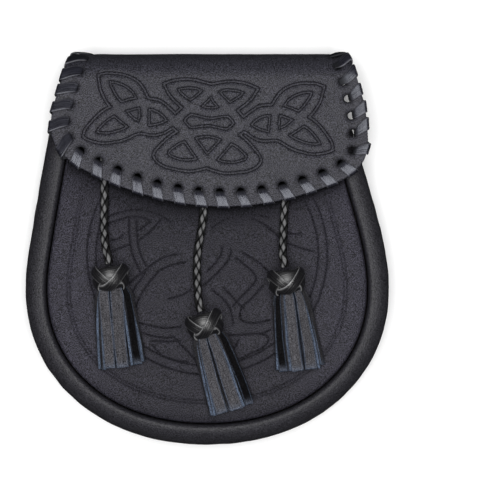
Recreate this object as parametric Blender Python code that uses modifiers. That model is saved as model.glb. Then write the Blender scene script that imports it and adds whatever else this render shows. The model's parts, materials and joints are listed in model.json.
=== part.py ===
"""A sporran pouch lying on its back: metres, +Z up out of the front, +Y towards the rolled top.

The body is a back panel, a gusset with a rounded rim and a front panel set into it, open at the
mouth. A flap is sewn to the back, rolls over the top and hangs over the front, with a flat thong
whip-stitched round its edge. Three tassels on braided cords lie on the front panel, and two belt
loops stand on the back. The front slopes a little down to the top and the back a little up, so
the pouch is a wedge that is deepest at the bottom.
"""

import math

import bmesh
import bpy
import numpy as np
from mathutils import Matrix, Vector

# Outline of the body, seen from the front.
BODY_HALF_WIDTH = 0.0963
BODY_BOTTOM_Y = -0.1047
WIDEST_Y = -0.0216
BOTTOM_POWER = 2.12          # exponent of the superellipse below the widest line
SIDE_TAPER = 0.25            # how fast each side draws in towards the top
SIDE_ROUND = 0.023           # how softly the taper starts
LEAN_RATE = 0.03             # the upper body leans to the left
LEAN_START_Y = 0.005
LEAN_ROUND = 0.010

# Heights of the two faces above the surface that the pouch lies on.
FRONT_HEIGHT = 0.0334        # of the front panel's edge, at y = 0
FRONT_SLOPE = -0.036
BACK_SLOPE = 0.052
BACK_EDGE_Y = -0.0961        # where the back panel's lower edge touches the surface

# Leather and clearances.
GAP = 0.0003
PANEL_THICKNESS = 0.0022
GUSSET_THICKNESS = 0.0018
FLAP_THICKNESS = 0.0024
LOOP_THICKNESS = 0.0020

# Rim, seam and mouth.
RIM_WIDTH = 0.0116           # from the seam groove to the outline
LIP_DEPTH = 0.0050           # the gusset's edge turned down into the seam
LIP_CENTRE = 0.00125         # from the groove's middle to the lip's middle
RIM_CREST = (0.0032, 0.0006)  # outward from the groove, above the panel's edge
RIM_ROUND_DROP = 0.0080      # where the rim's round ends, below the panel's edge
BACK_ROUND = 0.0070
BACK_LAP_OUT = 0.0034        # where the gusset's back lap starts, outward from the groove
BACK_LAP_IN = -0.0040        # and where it ends
BACK_PANEL_REACH = 0.0030
MOUTH_Y = 0.084
BACK_PANEL_TOP_Y = 0.088
MOUTH_CORNER = 0.007
PANEL_CROWN = 0.0008
PANEL_MIDDLE_Y = -0.010

# Flap: its flat cut, measured along the leather from y = 0 up the front, over the roll and down.
FLAP_CENTRE_X = 0.0012
FLAP_CLEARANCE = 0.0078      # between the front panel's edge and the underside of the flap
FLAP_LOWEST = 0.0213
FLAP_BOW = 3.6               # curvature of the lower edge, per metre
FLAP_TILT = 0.055            # the lower edge runs down to the right
ROLL_START_Y = 0.088
ROLL_DEPTH = 0.0134          # how far the roll's middle layer stands out past its start
ROLL_CUTS = 12
TAIL_LENGTH = 0.018
HOLE_RADIUS = 0.0019
HOLE_SIDES = 10
HOLE_INSET = 0.0077
SIDE_HOLES = 7
SIDE_PITCH = 0.0092
BOTTOM_HOLES = 14
BOTTOM_PITCH = 0.0110

# Thong.
THONG_WIDTH = 0.0054
THONG_NARROW = 0.0026        # where it is drawn through a hole
THONG_THICKNESS = 0.0012
THONG_SLANT = 0.0036         # how far each stitch runs along the edge on the front

# Belt loops.
LOOP_X = 0.045
LOOP_HALF_WIDTH = 0.011
LOOP_ENDS_Y = (0.014, 0.068)
LOOP_LAP = 0.009
LOOP_RISE = 0.005

# Tassels.
CORD_RADIUS = 0.0022
CORD_SPACING = 0.0088        # between the points of its route
CORD_RISE_LENGTH = 0.026     # over which the cord rises to the knot
KNOT_RADIUS = 0.0100
KNOT_HALF_LENGTH = 0.0068
HEAD_RADIUS = 0.0054
HEAD_DEPTH = 0.0050          # how far the fringe's head reaches into the knot
FRINGE_LENGTH = 0.0402
FRINGE_STRIPS = 8
FRINGE_END_HALF = (0.0123, 0.0042)  # half width and half height at the cut ends
KEEPER_LENGTH = 0.008
KEEPER_FOOT = 0.0045
KEEPER_THICKNESS = 0.0014

# Closing stud, hidden under the flap.
STUD_PLACE = (0.0008, 0.052)
STUD_HEAD_RADIUS = 0.0060
STUD_STEM_RADIUS = 0.0030
STUD_HEAD_THICKNESS = 0.0018

# name, knot centre x and y, lean of the fringe from straight down (degrees to the right),
# route of the cord from its keeper to the knot as (x, y) points
TASSELS = (
    ("left", -0.0502, -0.0162, 6.6,
     ((-0.0546, 0.0555), (-0.0545, 0.0455), (-0.0542, 0.0360), (-0.0539, 0.0260), (-0.0541, 0.0170),
      (-0.0538, 0.0080), (-0.0529, 0.0000))),
    ("centre", -0.0008, -0.0406, 16.5,
     ((-0.0030, 0.0430), (-0.0022, 0.0335), (-0.0018, 0.0240), (-0.0022, 0.0150), (-0.0034, 0.0065),
      (-0.0048, -0.0020), (-0.0053, -0.0110), (-0.0050, -0.0190))),
    ("right", 0.0418, -0.0180, 7.4,
     ((0.0436, 0.0475), (0.0430, 0.0385), (0.0421, 0.0290), (0.0408, 0.0200), (0.0404, 0.0110),
      (0.0399, 0.0010), (0.0397, -0.0050))),
)


def front_height(y):
    """Height of the front panel's edge, which is a plane sloping down to the top."""
    return FRONT_HEIGHT + FRONT_SLOPE * y


def back_height(y):
    """Height of the back panel's outer face, a plane rising from the lower edge."""
    return BACK_SLOPE * (y - BACK_EDGE_Y)


def panel_top(y):
    """Height of the middle of the front panel, where the tassels lie."""
    return front_height(y) + PANEL_CROWN


# ---------------------------------------------------------------- shared ways of making a solid

def make_collection(name):
    group = bpy.data.collections.new(name)
    bpy.context.scene.collection.children.link(group)
    return group


def leather(name, colour, roughness):
    """A Principled material for one piece."""
    finish = bpy.data.materials.new(name)
    finish.use_nodes = True
    shader = finish.node_tree.nodes["Principled BSDF"]
    shader.inputs["Base Color"].default_value = (*colour, 1.0)
    shader.inputs["Roughness"].default_value = roughness
    shader.inputs["Metallic"].default_value = 0.0
    finish.diffuse_color = (*colour, 1.0)
    return finish


def add_object(name, data, finish, group):
    item = bpy.data.objects.new(name, data)
    data.materials.append(finish)
    group.objects.link(item)
    return item


def grid_mesh(name, rows, closed):
    """Faces between neighbouring rows of points; closed joins each row's end to its start."""
    width = len(rows[0])
    mesh = bpy.data.meshes.new(name)
    points = [tuple(point) for row in rows for point in row]
    faces = []
    for r in range(len(rows) - 1):
        for c in range(width if closed else width - 1):
            after = (c + 1) % width
            faces.append((r * width + c, r * width + after,
                          (r + 1) * width + after, (r + 1) * width + c))
    mesh.from_pydata(points, [], faces)
    mesh.update()
    return mesh


def outward(mesh):
    """Turn the faces of a closed mesh outwards and cut them into triangles."""
    work = bmesh.new()
    work.from_mesh(mesh)
    bmesh.ops.recalc_face_normals(work, faces=work.faces)
    bmesh.ops.triangulate(work, faces=work.faces)
    if work.calc_volume(signed=True) < 0.0:
        bmesh.ops.reverse_faces(work, faces=work.faces)
    work.to_mesh(mesh)
    work.free()


def add_sheet(name, rows, thickness, side, finish, group, closed=False, filled=False):
    """A leather wall: a surface through rows of points, given its thickness by Solidify."""
    mesh = grid_mesh(name, rows, closed)
    if filled:
        work = bmesh.new()
        work.from_mesh(mesh)
        work.verts.ensure_lookup_table()
        start = (len(rows) - 1) * len(rows[0])
        work.faces.new([work.verts[start + c] for c in range(len(rows[0]))])
        bmesh.ops.recalc_face_normals(work, faces=work.faces)
        work.normal_update()
        work.faces.ensure_lookup_table()
        if work.faces[-1].normal.z < 0.0:
            bmesh.ops.reverse_faces(work, faces=work.faces)
        work.to_mesh(mesh)
        work.free()
    sheet = add_object(name, mesh, finish, group)
    wall = sheet.modifiers.new("leather", "SOLIDIFY")
    wall.thickness = thickness
    wall.offset = side
    wall.use_even_offset = True
    return sheet


def add_loft(name, rings, finish, group):
    """A closed solid through rings of points, with its two ends capped."""
    mesh = grid_mesh(name, rings, True)
    work = bmesh.new()
    work.from_mesh(mesh)
    work.verts.ensure_lookup_table()
    sides = len(rings[0])
    last = (len(rings) - 1) * sides
    work.faces.new([work.verts[c] for c in range(sides)])
    work.faces.new([work.verts[last + c] for c in range(sides)])
    work.to_mesh(mesh)
    work.free()
    outward(mesh)
    return add_object(name, mesh, finish, group)


def flat_curve(name, outline, holes, half_thickness):
    """A flat outline with holes, filled on both sides: a 2D curve with an extrude."""
    curve = bpy.data.curves.new(name, "CURVE")
    curve.dimensions = "2D"
    curve.fill_mode = "BOTH"
    curve.extrude = half_thickness
    for loop in (outline, *holes):
        spline = curve.splines.new("POLY")
        spline.points.add(len(loop) - 1)
        for point, (x, y) in zip(spline.points, loop):
            point.co = (x, y, 0.0, 1.0)
        spline.use_cyclic_u = True
    return curve


def curve_to_mesh(name, curve, group):
    """The mesh of a curve with its loose caps welded; the curve itself is removed."""
    guide = bpy.data.objects.new(name + "_outline", curve)
    group.objects.link(guide)
    bpy.context.view_layer.update()
    evaluated = guide.evaluated_get(bpy.context.evaluated_depsgraph_get())
    mesh = bpy.data.meshes.new_from_object(evaluated)
    mesh.name = name
    mesh.materials.clear()
    work = bmesh.new()
    work.from_mesh(mesh)
    bmesh.ops.remove_doubles(work, verts=work.verts, dist=1e-6)
    work.to_mesh(mesh)
    work.free()
    bpy.data.objects.remove(guide)
    bpy.data.curves.remove(curve)
    return mesh


def add_turned(name, profile, segments, finish, group):
    """A turned solid: a closed profile of (radius, height) points with a Screw modifier."""
    count = len(profile)
    mesh = bpy.data.meshes.new(name)
    closed = profile[0][0] > 0.0
    edges = [(n, n + 1) for n in range(count - 1)]
    if closed:
        edges.append((count - 1, 0))
    mesh.from_pydata([(radius, 0.0, height) for radius, height in profile], edges, [])
    piece = add_object(name, mesh, finish, group)
    turn = piece.modifiers.new("turned", "SCREW")
    turn.axis = "Z"
    turn.angle = math.tau
    turn.steps = segments
    turn.render_steps = segments
    turn.use_merge_vertices = True
    turn.merge_threshold = 0.00001
    return piece


def smooth_route(points, spacing):
    """Points at an even spacing on a smooth Catmull-Rom curve through the given points."""
    knots = [2 * points[0] - points[1], *points, 2 * points[-1] - points[-2]]
    fine = []
    for n in range(1, len(knots) - 2):
        before, start, end, after = knots[n - 1:n + 3]
        for step in range(12):
            t = step / 12
            fine.append(0.5 * (2 * start + (end - before) * t
                               + (2 * before - 5 * start + 4 * end - after) * t * t
                               + (3 * start - before - 3 * end + after) * t ** 3))
    fine.append(points[-1])
    steps = [0.0]
    for first, second in zip(fine, fine[1:]):
        steps.append(steps[-1] + (second - first).length)
    count = max(2, round(steps[-1] / spacing))
    wanted = np.linspace(0.0, steps[-1], count + 1)
    columns = [np.interp(wanted, steps, [point[axis] for point in fine]) for axis in range(3)]
    return [Vector(point) for point in zip(*columns)]


# ---------------------------------------------------------------- outline of the body

def body_half_width(y):
    """Half width of the body above its widest line: a straight taper with a soft start."""
    rise = max(y - WIDEST_Y, 0.0)
    return BODY_HALF_WIDTH - SIDE_TAPER * (math.hypot(rise, SIDE_ROUND) - SIDE_ROUND)


def body_middle(y):
    """Sideways place of the body's middle, which leans to the left towards the top."""
    rise = y - LEAN_START_Y
    return -LEAN_RATE * (rise + math.hypot(rise, LEAN_ROUND))


def body_path(top_y, side_count, bottom_count):
    """The outline from the upper left, round the bottom, to the upper right."""
    depth = WIDEST_Y - BODY_BOTTOM_Y
    rising = [top_y + (WIDEST_Y - top_y) * n / side_count for n in range(side_count)]
    left = [Vector((body_middle(y) - body_half_width(y), y)) for y in rising]
    right = [Vector((body_middle(y) + body_half_width(y), y)) for y in reversed(rising)]
    bottom = []
    for n in range(bottom_count + 1):
        turn = math.pi * n / bottom_count
        across = math.copysign(abs(math.cos(turn)) ** (2 / BOTTOM_POWER), -math.cos(turn))
        down = max(math.sin(turn), 0.0) ** (2 / BOTTOM_POWER)
        x = BODY_HALF_WIDTH * across + body_middle(WIDEST_Y) * (1 - down)
        bottom.append(Vector((x, WIDEST_Y - depth * down)))
    return left + bottom + right


def outward_normals(path, closed):
    """Unit normals to the left of the way round, which is outwards on these paths."""
    count = len(path)
    normals = []
    for n in range(count):
        before = path[n - 1] if closed or n > 0 else path[n]
        after = path[(n + 1) % count] if closed or n < count - 1 else path[n]
        along = (after - before).normalized()
        normals.append(Vector((along.y, -along.x)))
    return normals


def grown(path, distance, closed):
    """The path moved outwards by a distance, inwards where it is negative."""
    moved = zip(path, outward_normals(path, closed))
    return [point + normal * distance for point, normal in moved]


def panel_outline(inset, top_y, side_count, bottom_count):
    """A closed outline inside the body's, with a straight top and rounded top corners."""
    side = grown(body_path(top_y - MOUTH_CORNER, side_count, bottom_count), -inset, False)
    left, right = side[0], side[-1]
    corner_steps = 4
    left_corner = []
    right_corner = []
    for n in range(1, corner_steps + 1):
        turn = math.pi / 2 * n / corner_steps
        reach = MOUTH_CORNER * (1 - math.cos(turn))
        rise = (top_y - left.y) * math.sin(turn)
        left_corner.insert(0, Vector((left.x + reach, left.y + rise)))
        right_corner.append(Vector((right.x - reach, right.y + rise)))
    middle = (left_corner[0] + right_corner[-1]) / 2
    return left_corner + side + right_corner + [middle]


# ---------------------------------------------------------------- body

def add_back_panel(group, finish):
    """The flat back, cut from one sheet, tilted up from its lower edge."""
    outline = panel_outline(RIM_WIDTH - BACK_PANEL_REACH, BACK_PANEL_TOP_Y, 5, 26)
    points = [(point.x, point.y - BACK_EDGE_Y) for point in outline]
    curve = flat_curve("back_panel", points, (), PANEL_THICKNESS / 2)
    mesh = curve_to_mesh("back_panel", curve, group)
    outward(mesh)
    panel = add_object("back_panel", mesh, finish, group)
    panel.location = (0.0, BACK_EDGE_Y, PANEL_THICKNESS / 2)
    panel.rotation_euler.x = math.atan(BACK_SLOPE)


def add_front_panel(group, finish):
    """The front: a shallow pan, crowned in the middle, its edge turned down into the seam."""
    # outward from the groove, above the plane of the panel's edge
    turned_edge = ((-0.0003, -0.0045), (-0.0003, -0.0018), (-0.0008, -0.0006), (-0.0024, 0.0))
    # share of the outline's size, above the plane of the panel's edge
    crown = ((0.86, 0.0005), (0.66, PANEL_CROWN))
    outline = panel_outline(RIM_WIDTH, MOUTH_Y, 5, 26)
    middle = Vector((0.0, PANEL_MIDDLE_Y))
    loops = [(grown(outline, reach, True), rise) for reach, rise in turned_edge]
    loops += [([middle + (point - middle) * share for point in outline], rise)
              for share, rise in crown]
    rows = [[(point.x, point.y, front_height(point.y) + rise) for point in loop]
            for loop, rise in loops]
    add_sheet("front_panel", rows, PANEL_THICKNESS, -1.0, finish, group, True, True)


def gusset_profile(y):
    """The gusset's middle layer across one place: (outward from the groove, height)."""
    front = front_height(y)
    back = back_height(y)
    wall = RIM_WIDTH - GUSSET_THICKNESS / 2
    crest_out, crest_up = RIM_CREST
    lap = back + PANEL_THICKNESS + GAP + GUSSET_THICKNESS / 2
    profile = [(LIP_CENTRE, front - LIP_DEPTH), (LIP_CENTRE, front - 0.0016),
               (LIP_CENTRE + 0.0005, front - 0.0001)]
    for n in range(5):
        turn = math.pi / 2 * n / 4
        profile.append((crest_out + (wall - crest_out) * math.sin(turn),
                        front - RIM_ROUND_DROP + (RIM_ROUND_DROP + crest_up) * math.cos(turn)))
    for n in range(4):
        turn = math.pi / 2 * n / 3
        profile.append((BACK_LAP_OUT + (wall - BACK_LAP_OUT) * math.cos(turn),
                        lap + BACK_ROUND * (1 - math.sin(turn))))
    profile.append((BACK_LAP_IN, lap))
    return profile


def add_gusset(group, finish):
    """The strip round the sides and bottom: seam lip, rounded rim, wall and back lap."""
    path = body_path(MOUTH_Y, 7, 28)
    normals = outward_normals(path, False)
    rows = []
    for point, normal in zip(path, normals):
        groove_y = point.y - normal.y * RIM_WIDTH
        row = []
        for reach, height in gusset_profile(groove_y):
            place = point + normal * (reach - RIM_WIDTH)
            row.append((place.x, place.y, height))
        rows.append(row)
    add_sheet("gusset", rows, GUSSET_THICKNESS, 0.0, finish, group)


# ---------------------------------------------------------------- flap and thong

def roll_sizes():
    """Top and bottom height of the roll's middle layer, and the leather's length round it."""
    top = front_height(ROLL_START_Y) + FLAP_CLEARANCE + FLAP_THICKNESS / 2
    bottom = back_height(ROLL_START_Y) - GAP - FLAP_THICKNESS / 2
    half_height = (top - bottom) / 2
    length = math.pi * math.sqrt((ROLL_DEPTH ** 2 + half_height ** 2) / 2)
    return top, bottom, length


def flap_point(x, along, lift):
    """A place on the bent flap: x, length along the leather, lift out of its middle layer."""
    top, bottom, roll_length = roll_sizes()
    half_height = (top - bottom) / 2
    if along <= ROLL_START_Y:
        middle = Vector((x, along, front_height(along) + FLAP_CLEARANCE + FLAP_THICKNESS / 2))
        normal = Vector((0.0, -FRONT_SLOPE, 1.0))
    elif along < ROLL_START_Y + roll_length:
        turn = math.pi * (along - ROLL_START_Y) / roll_length
        middle = Vector((x, ROLL_START_Y + ROLL_DEPTH * math.sin(turn),
                         bottom + half_height * (1 + math.cos(turn))))
        normal = Vector((0.0, math.sin(turn) / ROLL_DEPTH, math.cos(turn) / half_height))
    else:
        y = ROLL_START_Y - (along - ROLL_START_Y - roll_length)
        middle = Vector((x, y, back_height(y) - GAP - FLAP_THICKNESS / 2))
        normal = Vector((0.0, BACK_SLOPE, -1.0))
    return middle + normal.normalized() * lift


def flap_half_outline():
    """Right half of the flap's cut before the lower edge is tilted, from the bottom up."""
    half = [Vector((x, FLAP_LOWEST + FLAP_BOW * x * x)) for x in np.linspace(0.0, 0.070, 11)]
    # half width, length along the leather: corner, side, roll and tail
    for x, along in ((0.0757, 0.0433), (0.0795, 0.0472), (0.0820, 0.0520), (0.0832, 0.0575),
                     (0.0829, 0.0650), (0.0816, 0.0740), (0.0793, 0.0825), (0.0768, 0.0910),
                     (0.0745, 0.0990), (0.0715, 0.1120), (0.0680, 0.1250)):
        half.append(Vector((x, along)))
    tail_end = ROLL_START_Y + roll_sizes()[2] + TAIL_LENGTH
    half.append(Vector((0.0655, tail_end - 0.006)))
    half.append(Vector((0.0600, tail_end)))
    return half


def flap_outline():
    """The flap's whole cut, counter-clockwise from the lower middle; the edge runs down right."""
    half = flap_half_outline()
    whole = half + [Vector((-point.x, point.y)) for point in reversed(half[1:])]
    tilted = []
    for point in whole:
        fade = min(max((0.075 - point.y) / 0.020, 0.0), 1.0)
        tilted.append(Vector((point.x + FLAP_CENTRE_X, point.y - FLAP_TILT * point.x * fade)))
    return tilted


def thong_places():
    """Each hole's place, the outward direction there and the direction along the edge."""
    outline = flap_outline()
    count = len(flap_half_outline())
    edge = outline[count:] + outline[:count]
    inner = grown(edge, -HOLE_INSET, False)
    lengths = [0.0]
    for first, second in zip(inner, inner[1:]):
        lengths.append(lengths[-1] + (second - first).length)

    def at(length):
        x = float(np.interp(length, lengths, [point.x for point in inner]))
        y = float(np.interp(length, lengths, [point.y for point in inner]))
        return Vector((x, y))

    middle = lengths[min(range(len(inner)), key=lambda n: abs(inner[n].x - FLAP_CENTRE_X)
                         + (1.0 if inner[n].y > 0.08 else 0.0))]
    reach = BOTTOM_PITCH * (BOTTOM_HOLES - 1) / 2
    stops = [middle - reach - SIDE_PITCH * n for n in range(SIDE_HOLES, 0, -1)]
    stops += [middle - reach + BOTTOM_PITCH * n for n in range(BOTTOM_HOLES)]
    stops += [middle + reach + SIDE_PITCH * n for n in range(1, SIDE_HOLES + 1)]
    places = []
    for stop in stops:
        along = (at(stop + 0.002) - at(stop - 0.002)).normalized()
        places.append((at(stop), Vector((along.y, -along.x)), along))
    return places


def add_flap(group, finish):
    """The flap: cut flat with its row of holes, then bent over the top and down the back."""
    holes = []
    for place, _, _ in thong_places():
        turns = [math.tau * n / HOLE_SIDES for n in range(HOLE_SIDES)]
        holes.append([(place.x + HOLE_RADIUS * math.cos(turn),
                       place.y + HOLE_RADIUS * math.sin(turn)) for turn in turns])
    outline = [(point.x, point.y) for point in flap_outline()]
    curve = flat_curve("flap", outline, holes, FLAP_THICKNESS / 2)
    mesh = curve_to_mesh("flap", curve, group)
    work = bmesh.new()
    work.from_mesh(mesh)
    roll_length = roll_sizes()[2]
    for n in range(ROLL_CUTS + 1):
        along = ROLL_START_Y + roll_length * n / ROLL_CUTS
        everything = [*work.verts, *work.edges, *work.faces]
        bmesh.ops.bisect_plane(work, geom=everything, dist=1e-7,
                               plane_co=(0.0, along, 0.0), plane_no=(0.0, 1.0, 0.0))
    bmesh.ops.triangulate(work, faces=work.faces)
    for vertex in work.verts:
        vertex.co = flap_point(*vertex.co)
    work.to_mesh(mesh)
    work.free()
    outward(mesh)
    add_object("flap", mesh, finish, group)


def add_thong(group, finish):
    """The lacing: one flat thong up through each hole, over the edge and back underneath."""
    face = FLAP_THICKNESS / 2 + GAP + THONG_THICKNESS / 2
    edge = HOLE_INSET + 2 * GAP + THONG_THICKNESS / 2
    # outward from the hole, lift, turn of the thong's outer side (0 outwards, 90 up),
    # share of the slant, width
    stitch = ((0.0, 0.0, 180, 0.0, THONG_NARROW),
              (0.0002, face - 0.0004, 135, 0.0, THONG_NARROW),
              (0.0016, face, 90, 0.08, 0.0036),
              (0.0036, face, 90, 0.30, THONG_WIDTH),
              (edge - 0.0008, face, 60, 0.85, THONG_WIDTH),
              (edge, face - 0.0010, 25, 0.95, THONG_WIDTH),
              (edge, 0.0010 - face, -25, 1.05, THONG_WIDTH),
              (edge - 0.0008, -face, -60, 1.15, THONG_WIDTH))
    under = ((0.0016, -face, -90, 0.0, 0.0036),
             (0.0002, 0.0004 - face, -135, 0.0, THONG_NARROW))
    places = thong_places()
    rings = []

    def ring(place, out, along, station):
        reach, lift, turn, slant, width = station
        centre = place + out * reach + along * (THONG_SLANT * slant)
        turn = math.radians(turn)
        half = THONG_THICKNESS / 2
        corners = []
        for sideways, layer in ((-1, -1), (1, -1), (1, 1), (-1, 1)):
            flat = centre + along * (sideways * width / 2) + out * (layer * half * math.cos(turn))
            corners.append(flap_point(flat.x, flat.y, lift + layer * half * math.sin(turn)))
        rings.append(corners)

    for n, (place, out, along) in enumerate(places):
        if n > 0:
            for station in under:
                ring(place, out, along, station)
        for station in stitch:
            ring(place, out, along, station)
    last_place, last_out, last_along = places[-1]
    ring(last_place, last_out, last_along, (0.0036, -face, -90, 1.2, THONG_WIDTH))
    add_loft("flap_lacing", rings, finish, group)


# ---------------------------------------------------------------- fastenings

def add_belt_loop(name, x, group, finish):
    """A leather strap sewn on at both ends, standing off the back so that a belt goes through."""
    low, high = LOOP_ENDS_Y
    half = LOOP_THICKNESS / 2

    def lapped(y):
        return back_height(y) - GAP - half

    line = [(low, lapped(low)), (low + LOOP_LAP, lapped(low + LOOP_LAP)),
            (low + LOOP_LAP + LOOP_RISE * 0.6, half + 0.0010),
            (low + LOOP_LAP + LOOP_RISE, half),
            (high - LOOP_LAP - LOOP_RISE, half),
            (high - LOOP_LAP - LOOP_RISE * 0.6, half + 0.0010),
            (high - LOOP_LAP, lapped(high - LOOP_LAP)), (high, lapped(high))]
    rows = [[(x - LOOP_HALF_WIDTH, y, z), (x + LOOP_HALF_WIDTH, y, z)] for y, z in line]
    add_sheet(name, rows, LOOP_THICKNESS, 0.0, finish, group)


def add_stud(group, finish):
    """The plain stud between flap and front panel: two heads on a stem."""
    x, y = STUD_PLACE
    low = PANEL_CROWN + GAP
    high = FLAP_CLEARANCE - GAP
    profile = ((0.0, high), (STUD_HEAD_RADIUS, high),
               (STUD_HEAD_RADIUS, high - STUD_HEAD_THICKNESS),
               (STUD_STEM_RADIUS, high - STUD_HEAD_THICKNESS),
               (STUD_STEM_RADIUS, low + STUD_HEAD_THICKNESS),
               (STUD_HEAD_RADIUS, low + STUD_HEAD_THICKNESS),
               (STUD_HEAD_RADIUS, low), (0.0, low))
    stud = add_turned("closing_stud", profile, 20, finish, group)
    stud.location = (x, y, front_height(y))
    stud.rotation_euler.x = math.atan(FRONT_SLOPE)


# ---------------------------------------------------------------- tassels

def tassel_frame(x, y, lean):
    """The knot's centre and the tassel's directions: along, across and up."""
    lean = math.radians(lean)
    centre = Vector((x, y, panel_top(y) + GAP + KNOT_RADIUS))
    along = Vector((math.sin(lean), -math.cos(lean), -FRONT_SLOPE * math.cos(lean))).normalized()
    across = Vector((math.cos(lean), math.sin(lean), 0.0))
    return centre, along, across, along.cross(across)


def cord_route(x, y, lean, seen):
    """The cord from its keeper along the front panel, rising to the middle of the knot."""
    centre, along, _, _ = tassel_frame(x, y, lean)
    end = centre - along * (KNOT_HALF_LENGTH + 2 * GAP)
    route = []
    for px, py in seen:
        nearness = max(1 - math.hypot(px - end.x, py - end.y) / CORD_RISE_LENGTH, 0.0)
        rise = (KNOT_RADIUS - CORD_RADIUS) * nearness ** 2 * (3 - 2 * nearness)
        route.append(Vector((px, py, panel_top(py) + GAP + CORD_RADIUS + rise)))
    return route + [end - along * 0.004, end]


def add_cord(name, route, group, finish):
    """The braided cord as a plain tube with filled caps."""
    points = smooth_route(route, CORD_SPACING)
    curve = bpy.data.curves.new(name, "CURVE")
    curve.dimensions = "3D"
    curve.bevel_depth = CORD_RADIUS
    curve.bevel_resolution = 2
    curve.use_fill_caps = True
    spline = curve.splines.new("POLY")
    spline.points.add(len(points) - 1)
    for node, point in zip(spline.points, points):
        node.co = (*point, 1.0)
    add_object(name, curve, finish, group)


def add_keeper(name, start, after, group, finish):
    """A plain leather arch that holds the cord's upper end down on the front panel."""
    inner = CORD_RADIUS + GAP
    outer = inner + KEEPER_THICKNESS
    foot = outer + KEEPER_FOOT
    floor = -CORD_RADIUS
    turns = [math.pi * n / 6 for n in range(7)]
    outside = [(-foot, floor), (-foot, floor + KEEPER_THICKNESS), (-outer, floor + KEEPER_THICKNESS)]
    outside += [(-outer * math.cos(turn), outer * math.sin(turn)) for turn in turns]
    outside += [(outer, floor + KEEPER_THICKNESS), (foot, floor + KEEPER_THICKNESS), (foot, floor)]
    inside = [(inner, floor)]
    inside += [(inner * math.cos(turn), inner * math.sin(turn)) for turn in turns]
    inside += [(-inner, floor)]
    curve = flat_curve(name, outside + inside, (), KEEPER_LENGTH / 2)
    mesh = curve_to_mesh(name, curve, group)
    outward(mesh)
    keeper = add_object(name, mesh, finish, group)
    along = (after - start).normalized()
    across = along.cross(Vector((0.0, 0.0, 1.0))).normalized()
    up = across.cross(along)
    turn = Matrix((across, up, -along)).transposed().to_4x4()
    middle = start + along * (KEEPER_LENGTH / 2 - 0.001)
    keeper.matrix_world = Matrix.Translation(middle) @ turn


def add_knot(name, frame, group, finish):
    """The woven knob: a turned barrel, bored from below for the fringe's head."""
    centre, along, across, _ = frame
    half = KNOT_HALF_LENGTH
    bore = HEAD_RADIUS + GAP
    step = half - HEAD_DEPTH - GAP
    barrel = [(0.0, half), (0.0058, half), (0.0081, 0.0056), (0.0096, 0.0030), (KNOT_RADIUS, 0.0),
              (0.0097, -0.0028), (0.0086, -0.0052), (0.0070, -half)]
    inner = [(bore, -half), (bore, -step), (0.0, -step)]
    knot = add_turned(name, barrel + inner, 18, finish, group)
    back = -along
    turn = Matrix((across, back.cross(across), back)).transposed().to_4x4()
    knot.matrix_world = Matrix.Translation(centre) @ turn


def oval_points(half_width, half_height, count):
    """Points at even steps round an oval, as unit turns: (cosine, sine) of each place."""
    turns = np.linspace(0.0, math.tau, 721)
    steps = np.hypot(np.diff(half_width * np.cos(turns)), np.diff(half_height * np.sin(turns)))
    lengths = np.concatenate(([0.0], np.cumsum(steps)))
    wanted = np.interp(np.arange(count) / count * lengths[-1], lengths, turns)
    return [(half_width * math.cos(turn), half_height * math.sin(turn)) for turn in wanted]


def add_fringe(name, frame, group, finish):
    """The fringe: eight strips round a core, fused at the head that sits in the knot."""
    centre, along, across, up = frame
    half_width, half_height = FRINGE_END_HALF
    drop = KNOT_RADIUS - half_height
    face = KNOT_HALF_LENGTH
    # distance from the knot's centre, half width, half height, share of the drop, slit depth
    stations = ((face - HEAD_DEPTH, HEAD_RADIUS, HEAD_RADIUS, 0.0, 0.0004),
                (face + 0.0003, HEAD_RADIUS, HEAD_RADIUS, 0.0, 0.0004),
                (face + 0.0016, 0.0066, 0.0060, 0.02, 0.0008),
                (face + 0.0120, 0.0082, 0.0058, 0.42, 0.0016),
                (face + 0.0260, 0.0103, 0.0050, 0.86, 0.0020),
                (face + FRINGE_LENGTH, half_width, half_height, 1.0, 0.0022))
    per_strip = 10
    rings = []
    for distance, wide, high, lower, slit in stations:
        middle = centre + along * distance - up * (drop * lower)
        places = oval_points(wide, high, FRINGE_STRIPS * per_strip)
        ring = []
        for strip in range(FRINGE_STRIPS):
            first = strip * per_strip
            for step, depth in ((0, slit), (0, 0.0), (4, 0.0), (8, 0.0), (8, slit)):
                x, z = places[first + step]
                inwards = 1 - depth / math.hypot(x, z)
                ring.append(middle + across * (x * inwards) + up * (z * inwards))
        rings.append(ring)
    add_loft(name, rings, finish, group)


def build():
    for old in list(bpy.data.objects):
        bpy.data.objects.remove(old)
    group = make_collection("sporran_pouch")

    panel_finish = leather("panel_leather", (0.040, 0.042, 0.046), 0.50)
    gusset_finish = leather("gusset_leather", (0.032, 0.033, 0.035), 0.42)
    flap_finish = leather("flap_leather", (0.050, 0.052, 0.055), 0.48)
    thong_finish = leather("thong_leather", (0.020, 0.021, 0.023), 0.30)
    fringe_finish = leather("fringe_leather", (0.085, 0.085, 0.088), 0.60)
    stud_finish = leather("stud_finish", (0.020, 0.020, 0.020), 0.35)

    add_back_panel(group, panel_finish)
    add_front_panel(group, panel_finish)
    add_gusset(group, gusset_finish)
    add_flap(group, flap_finish)
    add_thong(group, thong_finish)
    add_belt_loop("belt_loop_left", -LOOP_X, group, gusset_finish)
    add_belt_loop("belt_loop_right", LOOP_X, group, gusset_finish)
    add_stud(group, stud_finish)
    for side, x, y, lean, seen in TASSELS:
        frame = tassel_frame(x, y, lean)
        route = cord_route(x, y, lean, seen)
        add_cord("tassel_cord_" + side, route, group, thong_finish)
        add_keeper("cord_keeper_" + side, route[0], route[1], group, gusset_finish)
        add_knot("tassel_knot_" + side, frame, group, thong_finish)
        add_fringe("tassel_fringe_" + side, frame, group, fringe_finish)


build()
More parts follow.
